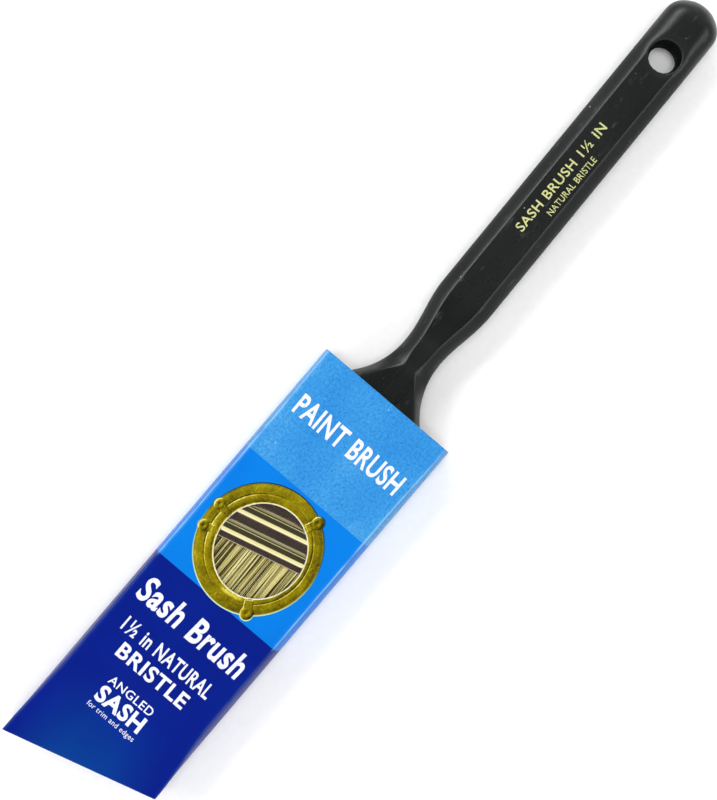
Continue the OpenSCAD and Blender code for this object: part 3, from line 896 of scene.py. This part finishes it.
def make_nail(node_name, face, side):
    """Domed nail: its outline turned about its own axis, with a point at each end."""
    bend = np.linspace(0, np.pi / 2, 8)
    head_r = NAIL_HEAD_R * np.sin(bend)
    head_z = NAIL_HEAD_RIM + (NAIL_HEAD_H - NAIL_HEAD_RIM) * np.cos(bend)
    radius = np.concatenate([head_r[1:], [NAIL_HEAD_R, NAIL_R, NAIL_R, NAIL_R * 0.8]])
    height = np.concatenate([head_z[1:], [0.0, 0.0, -NAIL_L + NAIL_TAPER_L, -NAIL_L + NAIL_POINT_L]])
    steps = 40
    angle = np.linspace(0, 2 * np.pi, steps + 1)[:-1]
    x = radius[:, None] * np.cos(angle)
    y = radius[:, None] * np.sin(angle)
    z = height[:, None] + 0 * x
    ring = np.stack([x, y, z], -1).reshape(-1, 3)
    poles = np.array([[0, 0, NAIL_HEAD_H], [0, 0, -NAIL_L]])
    local = np.concatenate([ring, poles])
    index = np.arange(x.size).reshape(x.shape)
    top = np.stack([index[0], np.full(steps, x.size), np.roll(index[0], -1)], -1)
    low = np.stack([index[-1], np.roll(index[-1], -1), np.full(steps, x.size + 1)], -1)
    wall = quads(index, close_columns=True)
    top = turned_to_match(wall, top)
    low = turned_to_match(wall, low)
    # face turns the nail over, as a half turn about its own X.
    placed = local * (1, face, face)
    seat = ferrule_t / 2 - DENT_DEPTH * NAIL_SINK
    centre = (ferrule_x - NAIL_FROM_TOP, side * NAIL_GAP / 2, mid_z + face * seat)
    points = placed + centre
    piece = build(node_name.replace("nail", "domed_nail"), points, [wall, np.concatenate([top, low])],
                  [nail_steel], "brush")
    # The domed heads get part of the beads' smoothness and of their painted highlight colour.
    paint(piece, "polish_and_sheen", NAIL_POLISH_AND_SHEEN + 0 * points[:, 0])
    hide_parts(node_name)


# ---------------------------------------------------------------- bristle


def make_strands(node_name, face, part):
    """Hairs from the resin to the chisel edge, each a four-sided tube of eight rings round a bent line.

    A hair starts at a random place in the ferrule's section, passes to one side of the plug, gathers with its
    neighbours into a lock, and ends on the slanted edge, earlier the further it lies from the mid plane.
    """
    rng = np.random.default_rng(100 + 10 * (face > 0) + part)
    count = STRANDS_PER_PIECE
    depth = rng.uniform(0.01, 1, count) ** 0.8
    z0 = depth * (inner_t / 2 - STRAND_CLEAR)
    corner_r = FERRULE_R - ferrule_wall
    into_corner = np.maximum(z0 - (inner_t / 2 - corner_r), 0)
    reach = inner_w / 2 - corner_r + np.sqrt(corner_r**2 - into_corner**2) - STRAND_CLEAR
    y0 = rng.uniform(-1, 1, count) * reach
    in_locks = y0 / LOCK_W + 0.22 * np.sin(1.9 * y0) + rng.normal(0, 0.05, count)
    lock = np.floor(in_locks)
    edge_gap = np.abs(in_locks - np.round(in_locks)) * LOCK_W
    lock_layer = np.floor(z0 / LOCK_T)
    lock_number = (lock * 7 + lock_layer * 131).astype(int)
    lock_random = np.random.default_rng(7).uniform(0, 1, (997, 3))[lock_number % 997]
    lock_y = (lock + 0.5) * LOCK_W + (lock_random[:, 0] - 0.5) * 0.6

    chisel_half = inner_t / 2 - BRISTLE_THIN
    over = np.clip((z0 - TIP_T / 2) / (chisel_half - TIP_T / 2), 0, 1)
    tip_x = bristle_x - y0 * math.tan(BRISTLE_SLANT) + CHISEL_L * over
    tip_x = tip_x + rng.gamma(1.3, 0.55, count)
    s = np.array([0.0, 0.17, 0.27, 0.4, 0.55, 0.72, 0.9, 1.0])
    x = set_x + (tip_x - set_x)[:, None] * s
    outside = np.clip((edge_x - y0[:, None] * math.tan(FERRULE_SLANT) - x) / SPREAD_L, 0, 1)
    gather = GATHER_AT_EDGE * smooth(0, 1, outside * 8) + GATHER_BY_TIPS * smooth(0, 1, outside * 1.4)
    gather = gather * (0.5 + 0.5 * lock_random[:, 1:2])
    y = y0[:, None] + (lock_y - y0)[:, None] * gather
    y = y + rng.normal(0, HAIR_SCATTER, count)[:, None] * outside
    y = y + (lock_random[:, 2:3] - 0.5) * LOCK_SCATTER * outside
    phase = rng.uniform(0, 2 * np.pi, count)[:, None]
    wave = np.sin(s * 7 + phase) * outside
    y = y + rng.normal(0, WAVE_W, count)[:, None] * wave
    passes = np.clip((x - (set_x - PLUG_L)) / PLUG_L, 0, 1)
    plug_half = PLUG_T / 2 * passes
    z = plug_half + z0[:, None] * (1 - plug_half / (inner_t / 2))
    narrow = 1 - BRISTLE_THIN / (inner_t / 2) * np.clip((set_x - x) / (set_x - bristle_x), 0, 1)
    stir = rng.normal(0, WAVE_T, count)[:, None] * np.cos(s * 6 + phase) * outside
    z = z * narrow + stir * (1 - 0.6 * depth[:, None])
    z = np.maximum(z, 0.02)

    radius = rng.uniform(*STRAND_R, count)[:, None] * np.array([1, 1, 1, 1, 0.97, 0.9, 0.7, 0.25])
    turn_by = rng.uniform(0, np.pi / 2, count)[:, None, None]
    angle = np.arange(STRAND_SIDES) * 2 * np.pi / STRAND_SIDES + turn_by
    ring_y = y[..., None] + radius[..., None] * np.cos(angle)
    ring_z = z[..., None] + radius[..., None] * np.sin(angle)
    ring_x = x[..., None] + 0 * ring_y
    points = np.stack([ring_x, ring_y, mid_z + face * ring_z], -1)
    index = np.arange(ring_x.size).reshape(ring_x.shape)
    around = np.concatenate([index, index[..., :1]], 2)
    tube = np.stack([around[:, :-1, :-1], around[:, :-1, 1:], around[:, 1:, 1:], around[:, 1:, :-1]], -1)
    caps = np.concatenate([index[:, 0, ::-1], index[:, -1]])
    faces = np.concatenate([tube.reshape(-1, 4), caps])
    name = f"{node_name}_hairs_{part}"
    piece = build(name, points.reshape(-1, 3), [faces], [bristle], "brush", sharp=180)
    hair_tone_and_shade = 0.54 + rng.normal(0, 0.25, count) + (lock_random[:, 1] - 0.5) * 0.3
    # Hairs along the edge of a lock lie lowest, in its shade, so their tone is darkened as painted shade.
    hair_tone_and_shade = hair_tone_and_shade - 0.8 * np.exp(-((edge_gap / 0.1) ** 2)) * (lock_random[:, 2] > 0.3)
    # A few hairs are much darker, and fewer much paler.
    rare = rng.uniform(0, 1, count)
    hair_tone_and_shade = hair_tone_and_shade - 0.45 * (rare < 0.14) + 0.4 * (rare > 0.92)
    paint(piece, "hair_tone_and_shade", np.clip(np.repeat(hair_tone_and_shade, index[0].size), 0, 1))
    paint(piece, "along", np.broadcast_to(s[None, :, None], index.shape).ravel())
    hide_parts(node_name)


# ---------------------------------------------------------------- sleeve


def rounded_path(places, radius, flat_step, bend_steps=7):
    """Line through the places with each inner corner turned on an arc of the radius."""
    places = np.array(places, float)
    run = []
    for i, place in enumerate(places):
        if i in (0, len(places) - 1):
            run.append(place[None])
            continue
        back = places[i - 1] - place
        ahead = places[i + 1] - place
        back /= np.hypot(*back)
        ahead /= np.hypot(*ahead)
        # Every fold is a right angle, so its arc's centre is one radius along both lines.
        bend = np.linspace(0, np.pi / 2, bend_steps)[:, None]
        centre = place + (back + ahead) * radius
        run.append(centre - ahead * radius * np.cos(bend) - back * radius * np.sin(bend))
    path = [run[0]]
    for part in run[1:]:
        gap = np.hypot(*(part[0] - path[-1][-1]))
        steps = max(int(round(gap / flat_step)), 1)
        share = np.linspace(0, 1, steps + 1)[1:, None]
        path.append(path[-1][-1] + (part[0] - path[-1][-1]) * share)
        path.append(part[1:])
    return np.concatenate(path)


def path_directions(path):
    """Direction at right angles to a path in its plane, a quarter turn clockwise from the way it runs."""
    run = np.gradient(path, axis=0)
    run /= np.hypot(run[:, 0], run[:, 1])[:, None]
    return np.stack([run[:, 1], -run[:, 0]], -1)


def along_path(path, s):
    """Places and directions at distances s along a path."""
    step = np.hypot(*np.diff(path, axis=0).T)
    at = np.concatenate([[0], np.cumsum(step)])
    out = path_directions(path)
    place = np.stack([np.interp(s, at, path[:, k]) for k in range(2)], -1)
    direction = np.stack([np.interp(s, at, out[:, k]) for k in range(2)], -1)
    return place, direction / np.hypot(direction[..., 0], direction[..., 1])[..., None]


def end_line(y, depth):
    """Place along the sleeve of its slanted closed end, depth inside the outer face."""
    return -toe_length + (half_w_sleeve - y) * end_slope + depth / end_cos


def settled(x, y, z):
    """How the card gives: the narrow sides bow out, and the front dips before its closed end.

    Widths shrink by a bow that grows from the closed end and eases at the mouth, and come back by the bow at
    mid height. The front alone has a dip (a cosine hump across, squared sine along), a low crown round the
    middle and a lifted lip at the mouth, both as bell curves.
    """
    from_end = np.clip(x - end_line(y, 0), 0, None)
    grown = smooth(0, 1, from_end / BOW_GROWS_L) * smooth(0.72, 1, -x / BOW_EASES_L)
    bow = np.where(y > 0, TOE_BOW, HEEL_BOW) * grown
    middle = sleeve_t / 2
    belly = 1 - ((z - middle) / middle) ** 2
    on_side = np.abs(y) > SIDE_FROM
    y_new = y * (half_w_sleeve - bow) / half_w_sleeve + np.sign(y) * bow * np.clip(belly, 0, 1) * on_side
    on_front = np.clip((z - middle) / middle, 0, 1) ** 3
    across = np.cos(np.clip(y / half_w_sleeve, -1, 1) * np.pi / 2) ** 2
    dip = END_DIP * across * np.sin(np.pi * np.clip(from_end / DIP_L, 0, 1)) ** 2
    crown = CROWN_H * across * np.exp(-(((x + 52) / 30) ** 2))
    lip = LIP_H * np.exp(x / 4) * np.exp(-((y / 7) ** 2))
    z_new = z + on_front * (crown + lip - dip)
    return x, y_new, z_new


def in_frame(x, y, z):
    """Points of the sleeve's own frame in the shared frame."""
    along, across = x + mouth, y + centre_y
    x_frame = along * turn_cos + across * turn_sin
    return np.stack([x_frame, -along * turn_sin + across * turn_cos, z], -1)


def on_front_face(x, y, lift):
    """Points on the settled front, lift above the card."""
    up = np.array([0, 0, 1.0])
    return in_frame(*settled(x, y, sleeve_t + 0 * x)) + up * np.asarray(lift)[..., None]


def thick_sheet(outer, inner, faces):
    """Closes two layers of points into a sheet: outer faces, inner ones turned over, and the cut edges."""
    count = len(outer)
    pairs = np.stack([faces, np.roll(faces, -1, 1)], -1).reshape(-1, 2)
    ordered = np.sort(pairs, 1)
    _, number, uses = np.unique(ordered, axis=0, return_inverse=True, return_counts=True)
    cut = pairs[uses[number.ravel()] == 1]
    sides = np.stack([cut[:, 1], cut[:, 0], cut[:, 0] + count, cut[:, 1] + count], -1)
    all_faces = np.concatenate([faces, faces[:, ::-1] + count, sides])
    kind = np.concatenate([np.zeros(len(faces)), np.ones(len(faces) + len(sides))])
    return np.concatenate([outer, inner]), all_faces, kind


# Once round the blank, outside face: heel side from its free edge, front, toe side, back and glued seam flap.
seam_y = half_w_sleeve - card_t - SEAM_FLAP_GAP
wrap_path = rounded_path(
    [
        (-half_w_sleeve, HEEL_FREE_EDGE), (-half_w_sleeve, sleeve_t), (half_w_sleeve, sleeve_t),
        (half_w_sleeve, 0), (-seam_y, 0), (-seam_y, SEAM_FLAP_L),
    ],
    FOLD_R, 0.62,
)


def make_sleeve_wrap():
    """The blank folded round: a grid along the sleeve by distance round it, with the window let in."""
    steps = np.hypot(*np.diff(wrap_path, axis=0).T)
    around = np.concatenate([[0], np.cumsum(steps)])
    front = np.flatnonzero(np.abs(wrap_path[:, 1] - sleeve_t) < 1e-6)
    front_zero = np.interp(window_y, wrap_path[front, 0], around[front])
    start = [0.0, CUT_W / toe_length]
    share = np.concatenate([start, np.linspace(0.005, 0.93, 136)[:-1], np.linspace(0.93, 1, 22)])
    # The back stops short of the end, where the closing panel's fold begins.
    on_back = np.abs(wrap_path[:, 1]) < 1e-6
    end = end_line(wrap_path[:, 0], np.where(on_back, back_stop, 0.0))
    x = share[:, None] * end[None, :]
    s = around[None, :] + 0 * x
    rows, columns = x.shape
    index = np.arange(rows * columns).reshape(rows, columns)
    c0 = int(np.searchsorted(around, front_zero - WINDOW_PATCH))
    c1 = int(np.searchsorted(around, front_zero + WINDOW_PATCH))
    mid_column = (c0 + c1) // 2
    r0 = int(np.searchsorted(-x[:, mid_column], window_from_mouth - WINDOW_PATCH))
    r1 = int(np.searchsorted(-x[:, mid_column], window_from_mouth + WINDOW_PATCH))
    keep = outside_block(rows, columns - 1, r0, r1, c0, c1)
    sheet = quads(index)[keep]
    edge_rows, edge_columns = block_edge(r0, r1, c0, c1)
    rim = index[edge_rows, edge_columns]
    flat_x, flat_s = x.ravel(), s.ravel()
    away = np.stack([flat_x[rim] + window_from_mouth, flat_s[rim] - front_zero], -1)
    distance = np.hypot(away[:, 0], away[:, 1])
    away /= distance[:, None]
    part = np.linspace(0, 1, 13)[1:, None]
    spread = distance * (1 - part) + (window_r + CUT_W) * part
    spread = np.concatenate([spread, window_r + 0 * distance[None]])
    patch_index = np.concatenate([rim[None], rows * columns + np.arange(spread.size).reshape(spread.shape)])
    patch = quads(patch_index, close_columns=True)
    patch = turned_to_match(sheet, patch)
    all_x = np.concatenate([flat_x, (away[:, 0] * spread - window_from_mouth).ravel()])
    all_s = np.concatenate([flat_s, (away[:, 1] * spread + front_zero).ravel()])
    place, out = along_path(wrap_path, all_s)
    # The die rounds the printed side over at the mouth and round the window, where the white core shows.
    at_window = np.zeros(len(all_s), bool)
    at_window[-len(distance):] = True
    at_cut = at_window | (all_x > -CUT_W / 2)
    layers = [place + out * CUT_DEPTH * at_cut[:, None], place + out * card_t]
    outer, inner = [in_frame(*settled(all_x, p[:, 0], p[:, 1])) for p in layers]
    printed = np.concatenate([sheet, patch])
    points, faces, kind = thick_sheet(outer, inner, printed)
    kind[:len(printed)] = at_window[printed].any(1)
    # Fold lines, along which the print is paled: partly worn coating, partly painted highlight.
    crease = np.zeros(len(all_s))
    bends = np.flatnonzero(np.abs(np.gradient(np.arctan2(*path_directions(wrap_path).T))) > 0.05)
    groups = np.split(bends, np.flatnonzero(np.diff(bends) > 3) + 1)
    for group in groups:
        at = around[group].mean()
        crease = np.maximum(crease, np.exp(-(((all_s - at) / CREASE_W) ** 2)))
    points, faces, kept = used_only(points, [faces])
    board = [board_print, board_bare]
    piece = build("folded_sleeve_wrap", points, faces, board, "sleeve", face_material=kind)
    paint(piece, "crease", np.concatenate([crease, 0 * crease])[kept])
    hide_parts("sleeve_front_panel", "sleeve_back_panel", "sleeve_toe_side", "sleeve_heel_side",
                "sleeve_seam_flap")


def make_sleeve_closure():
    """Closing panel and its tongue: a path up from the back's end and in under the front, carried across."""
    inside_z = sleeve_t - card_t - TONGUE_GAP
    path = rounded_path([(back_stop, 0), (0, 0), (0, inside_z), (TONGUE_L, inside_z)], FOLD_R, 0.7)
    out = path_directions(path)
    half = half_w_sleeve - card_t - CLOSURE_GAP
    across = np.linspace(-1, 1, 60)[None, :]
    tucked = np.clip((path[:, 0] - 1.0) / (TONGUE_L - 1.0), 0, 1) * (path[:, 1] > sleeve_t / 2)
    taper = TONGUE_TAPER * np.maximum(tucked - TONGUE_TAPER_FROM, 0) ** 1.4
    width = half * (1 - taper) - TONGUE_STEP_IN * (tucked > 0)
    y = across * width[:, None]
    layers = []
    for lift in (0.0, card_t):
        depth = (path[:, 0] + out[:, 0] * lift)[:, None] + 0 * y
        z = (path[:, 1] + out[:, 1] * lift)[:, None] + 0 * y
        x = end_line(y, depth)
        # Under the front the tongue follows the same dip as the card above it.
        x, _, z = settled(x, y, z)
        layers.append(in_frame(x, y, z).reshape(-1, 3))
    index = np.arange(y.size).reshape(y.shape)
    points, faces, kind = thick_sheet(layers[0], layers[1], quads(index))
    board = [board_print, board_bare]
    name = "folded_sleeve_closure"
    piece = build(name, points, [faces], board, "sleeve", face_material=kind)
    paint(piece, "crease", np.zeros(len(points)))
    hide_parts("sleeve_end_panel", "sleeve_tuck_tongue")


# ---------------------------------------------------------------- print on the sleeve

# Lugs of the pictured ring: (angle in degrees, distance from its centre, radius). Rivets have no radius.
RING_OFFSET = (0.05, 0.69)
GROOVE_R = 14.75
RIVET_R = 0.42
LUGS = [(81.4, 16.35, 1.6), (105.4, 16.35, 1.6), (-27.6, 16.9, 1.8), (-148.6, 17.0, 1.9)]
RIVETS = [(44, 15.9), (-72, 15.9), (176, 15.9)]
RIM_W = 0.34
LIGHT_ANGLE = math.radians(85)


def polar(angle, distance):
    """Point at an angle in degrees and a distance."""
    return distance * math.cos(math.radians(angle)), distance * math.sin(math.radians(angle))


def ring_relief(x, y):
    """Height of the pictured brass ring, to be shaded: flange, groove, rolled inner ring, lugs, rivets."""
    r = np.hypot(x, y)
    height = 0.8 * np.sqrt(np.clip((RING_R - r) / 1.1, 0, 1))
    height = height - 0.35 * np.exp(-(((r - GROOVE_R) / 0.16) ** 2))
    inner = np.clip((14.6 - r) / 1.9, -0.1, 1.1)
    height = height + 0.38 * np.sin(np.pi * np.clip(inner, 0, 1)) ** 0.8
    for angle, distance, radius in LUGS:
        cx, cy = polar(angle, distance)
        q = np.hypot(x - cx, y - cy) / radius
        dome = 0.4 + 1.9 * np.sqrt(np.clip(1 - q**2, 0, 1))
        height = np.maximum(height, dome - 0.9 * np.exp(-((q / 0.35) ** 2)))
        # Hinge arm from the lug in towards the window.
        cos, sin = polar(angle, 1)
        u = x * cos + y * sin
        v = -x * sin + y * cos
        arm = np.clip((u - 13.2) / 0.5, 0, 1) * np.clip((radius * 0.75 - np.abs(v)) / 0.3, 0, 1)
        arm = arm * (u < distance)
        height = np.maximum(height, 1.6 * arm)
    for angle, distance in RIVETS:
        cx, cy = polar(angle, distance)
        q = np.hypot(x - cx, y - cy) / RIVET_R
        height = height + 0.2 * np.sqrt(np.clip(1 - q**2, 0, 1))
    return height


def make_ring_picture():
    """Printed ring round the window: rays from the window's cut edge to the outline of circle and lugs.

    Its tone is the relief's slope towards the light, plus broad bright and dark sweeps as polished metal has.
    """
    angle = np.linspace(0, 2 * np.pi, 721)[:-1]
    way = np.stack([np.cos(angle), np.sin(angle)], -1)
    offset = np.array(RING_OFFSET)
    # Distance from the window's centre to the offset circle, and to each lug, along the ray.
    outline = way @ offset + np.sqrt((RING_R**2 - offset @ offset) + (way @ offset) ** 2)
    for lug_angle, distance, radius in LUGS:
        centre = offset + polar(lug_angle, distance)
        ahead = way @ centre
        beside2 = centre @ centre - ahead**2
        far = ahead + np.sqrt(np.clip(radius**2 - beside2, 0, None))
        outline = np.where((beside2 < radius**2) & (ahead > 0), np.maximum(outline, far), outline)
    start = window_r + CUT_W
    share = np.linspace(0, 1, 40)[:, None]
    body = start + (outline - start) * share
    radius = np.concatenate([body, outline[None] + RIM_W * np.array([[0.15], [1.0]])])
    x = radius * way[:, 0]
    y = radius * way[:, 1]
    px, py = x - offset[0], y - offset[1]
    step = 0.08
    slope_x = (ring_relief(px + step, py) - ring_relief(px - step, py)) / (2 * step)
    slope_y = (ring_relief(px, py + step) - ring_relief(px, py - step)) / (2 * step)
    lit = -(slope_x * math.cos(LIGHT_ANGLE) + slope_y * math.sin(LIGHT_ANGLE))
    theta = np.arctan2(py, px)
    r = np.hypot(px, py)
    tone = 0.38 + 0.3 * np.clip(lit, -1.5, 1.9)
    # Uneven room reflections: slow and quick waves round the ring that differ from band to band.
    band = np.where(r > GROOVE_R, 0.0, 2.0)
    tone += 0.05 * np.sin(3 * theta + 0.6 + band) + 0.045 * np.sin(8 * theta + 2.1 - band)
    tone += 0.04 * np.sin(19 * theta + 3 * band + 0.8 * r)
    inner_band = np.exp(-(((r - 13.7) / 0.65) ** 2))
    for centre, width, strength in ((-175, 22, 0.42), (112, 16, 0.25), (-50, 14, 0.25), (-95, 9, 0.2)):
        gap = np.mod(theta - math.radians(centre) + np.pi, 2 * np.pi) - np.pi
        tone += strength * inner_band * np.exp(-((gap / math.radians(width)) ** 2))
    tone = np.where(radius < start + 0.14, 0.93, tone)
    rim = (np.arange(len(radius)) >= len(body))[:, None] + 0 * radius
    toward = np.cos(theta - math.radians(8))
    rim_tone = 0.5 - 0.5 * toward
    # The film starts a little over the board, so that the two never lie in one plane.
    low, top = [
        on_front_face(x - window_from_mouth, window_y + y, lift + 0 * x) for lift in (PICTURE_GAP, INK_T)
    ]
    index = np.arange(radius.size).reshape(radius.shape)
    faces = quads(index, close_columns=True)
    points, faces, _ = thick_sheet(top.reshape(-1, 3), low.reshape(-1, 3), faces)
    piece = build(
        "window_ring_picture", points, [faces], [brass_picture], "sleeve", sharp=60
    )
    for name, values in (("tone", tone), ("rim", rim), ("rim_tone", rim_tone)):
        paint(piece, name, np.clip(np.tile(values.ravel(), 2), 0, 1))


def letter(name, words, width, height, place, material, body, weight=0.0, slope=0.0):
    """Lettering as a thin mesh: the words' outline scaled to width by height about its middle, then placed.

    place takes distances to the right and up, and a share of the film's thickness, and gives points.
    """
    curve = bpy.data.curves.new(name, "FONT")
    curve.body = words
    curve.align_x = "CENTER"
    curve.extrude = 0.5
    curve.offset = weight
    curve.shear = slope
    curve.space_character = 1.08
    curve.resolution_u = 6
    curve.space_line = 0.9
    holder = put_in(name, curve)
    bpy.context.view_layer.update()
    mesh = bpy.data.meshes.new_from_object(holder.evaluated_get(bpy.context.evaluated_depsgraph_get()))
    bpy.data.objects.remove(holder)
    flat = np.zeros(len(mesh.vertices) * 3, np.float32)
    mesh.vertices.foreach_get("co", flat)
    local = flat.reshape(-1, 3).astype(float)
    low, high = local.min(0), local.max(0)
    unit = (local - (low + high) / 2) / (high - low)
    points = place(unit[:, 0] * width, unit[:, 1] * height, unit[:, 2] + 0.5)
    mesh.vertices.foreach_set("co", (points * MM).astype(np.float32).ravel())
    mesh.materials.clear()
    mesh.materials.append(material)
    mesh.update()
    mesh.name = name
    piece = put_in(name, mesh)
    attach(piece, body)


def sleeve_line(name, words, from_mouth, width, height, weight=0.0, slope=0.0, shift=0.0):
    """White line across the sleeve's front, read with the handle end up."""
    def place(right, up, share):
        x = up - from_mouth
        return on_front_face(x, shift - right, INK_GAP + INK_T * share)
    letter(name, words, width, height, place, white_ink, "sleeve", weight, slope)


def handle_line(name, words, from_ferrule, across, width, height, weight):
    """Foil line stamped along the grip's face, read towards the hanging end."""
    def place(right, up, share):
        x = ferrule_x + from_ferrule + right
        y = across + up
        z = mid_z + face_height(x - ferrule_x, y) + STAMP_T * share - STAMP_SINK
        return np.stack([x, y, z], -1)
    letter(name, words, width, height, place, stamp_foil, "brush", weight)


# ---------------------------------------------------------------- the object

make_handle()
make_ferrule()
for face_name, face_sign in (("front", 1), ("back", -1)):
    for side_name, side_sign in (("toe", 1), ("heel", -1)):
        make_nail(f"nail_{face_name}_{side_name}", face_sign, side_sign)
    for part_number in (1, 2):
        make_strands(f"bristle_bank_{face_name}", face_sign, part_number)
make_sleeve_wrap()
make_sleeve_closure()
make_ring_picture()

sleeve_line("print_product", "PAINT BRUSH", 15.2, 36.5, 6.0, weight=0.023)
sleeve_line("print_kind", "Sash Brush", 77.3, 36.5, 7.2, weight=0.026, slope=0.1)
sleeve_line("print_size", "1½ in NATURAL", 87.6, 31.0, 4.4, weight=0.02)
sleeve_line("print_filling", "BRISTLE", 93.6, 24.0, 4.4, weight=0.024)
sleeve_line("print_cut_small", "ANGLED", 101.2, 15.2, 2.4, weight=0.01, shift=1.0)
sleeve_line("print_cut_large", "SASH", 105.6, 15.5, 4.8, weight=0.034, shift=1.0)
sleeve_line("print_use", "for trim and edges", 109.8, 16.0, 1.9, weight=0.0, shift=1.0)
handle_line("stamp_kind", "SASH BRUSH 1½ IN", 85.4, 1.0, 35.0, 2.7, 0.012)
handle_line("stamp_filling", "NATURAL BRISTLE", 85.3, -2.6, 18.8, 1.8, 0.006)

# CAD nodes whose shape is right keep it and get their real finish.
for kept_node, kept_material in (
    ("epoxy_set", resin),
    ("spacer_plug", softwood),
    ("sleeve_dust_flap_toe", board_bare),
    ("sleeve_dust_flap_heel", board_bare),
):
    kept_mesh = frame["nodes"][kept_node].data
    kept_mesh.materials.clear()
    kept_mesh.materials.append(kept_material)

# ---------------------------------------------------------------- floor, light and camera


def make_floor():
    """Square of paper, 1.6 metres wide, a twentieth of a millimetre under the sleeve's back."""
    half = 0.8
    drop = 0.00005
    side = np.linspace(-half, half, 9)
    x, y = np.meshgrid(side, side, indexing="ij")
    points = np.stack([x, y, 0 * x - drop], -1).reshape(-1, 3)
    mesh = bpy.data.meshes.new("paper_floor")
    mesh.from_pydata(points.tolist(), [], quads(np.arange(x.size).reshape(x.shape))[:, ::-1].tolist())
    mesh.materials.append(matt_paper_floor())
    put_in("paper_floor", mesh)


def soft_box(name, azimuth, elevation, distance, size, radiance, mirrored=True):
    """Studio light at an azimuth from +X and an elevation, both in degrees, aimed at the object.

    size is its width and its height; its power is radiance times pi times its area.
    """
    data = bpy.data.lights.new(name, "AREA")
    data.shape = "RECTANGLE"
    data.size, data.size_y = size
    data.energy = radiance * math.pi * size[0] * size[1]
    lamp = put_in(name, data)
    a = math.radians(azimuth)
    e = math.radians(elevation)
    lamp.location = (
        distance * math.cos(a) * math.cos(e), distance * math.sin(a) * math.cos(e), distance * math.sin(e)
    )
    lamp.rotation_euler = (-lamp.location).to_track_quat("-Z", "Y").to_euler()
    lamp.visible_glossy = mirrored


def make_world():
    """Room light by height: a near-white horizon that meets the floor, grey walls, and a dark ceiling."""
    world = bpy.data.worlds.new("studio")
    world.use_nodes = True
    tree = world.node_tree
    direction = add(tree, "ShaderNodeTexCoord").outputs["Generated"]
    height = add(tree, "ShaderNodeSeparateXYZ", {0: direction}).outputs[2]
    stops = [(0.0, "#f6f6f6"), (0.04, "#e4e4e4"), (0.1, "#bcbcbc")]
    stops += [(0.42, "#b4b4b4"), (0.7, "#616161"), (1.0, "#484848")]
    level = ramp(height, stops)
    tree.links.new(level, tree.nodes["Background"].inputs["Color"])
    tree.nodes["Background"].inputs["Strength"].default_value = 1.0
    bpy.context.scene.world = world


def make_camera():
    """Camera straight above, turned so that the brush runs from lower left to upper right."""
    distance = 0.470
    roll = 50.67
    behind_mouth = 4.714
    aim_y = 0.00506
    data = bpy.data.cameras.new("camera")
    data.sensor_width = 36.0
    data.lens = 81.8
    data.clip_start = 0.01
    data.clip_end = 20.0
    camera = put_in("camera", data)
    camera.location = ((mouth - behind_mouth) * MM, aim_y, sleeve_t * MM + distance)
    camera.rotation_euler = (0, 0, -math.radians(roll))
    bpy.context.scene.camera = camera


make_floor()
make_world()
soft_box("toe_light", 80, 50, 1.0, (1.6, 0.24), 5.0)
soft_box("heel_light", -80, 50, 1.0, (1.3, 0.22), 2.4)
soft_box("bristle_end_light", 193, 38, 1.0, (1.0, 0.93), 0.98)
soft_box("handle_end_strip", 13, 80, 1.0, (0.9, 0.08), 0.8)
soft_box("handle_end_glow", 13, 42, 1.2, (1.2, 1.0), 0.25)
soft_box("overhead_fill", 0, 90, 1.4, (0.5, 0.5), 12.0, mirrored=False)
make_camera()
bpy.context.scene.view_settings.view_transform = "Standard"
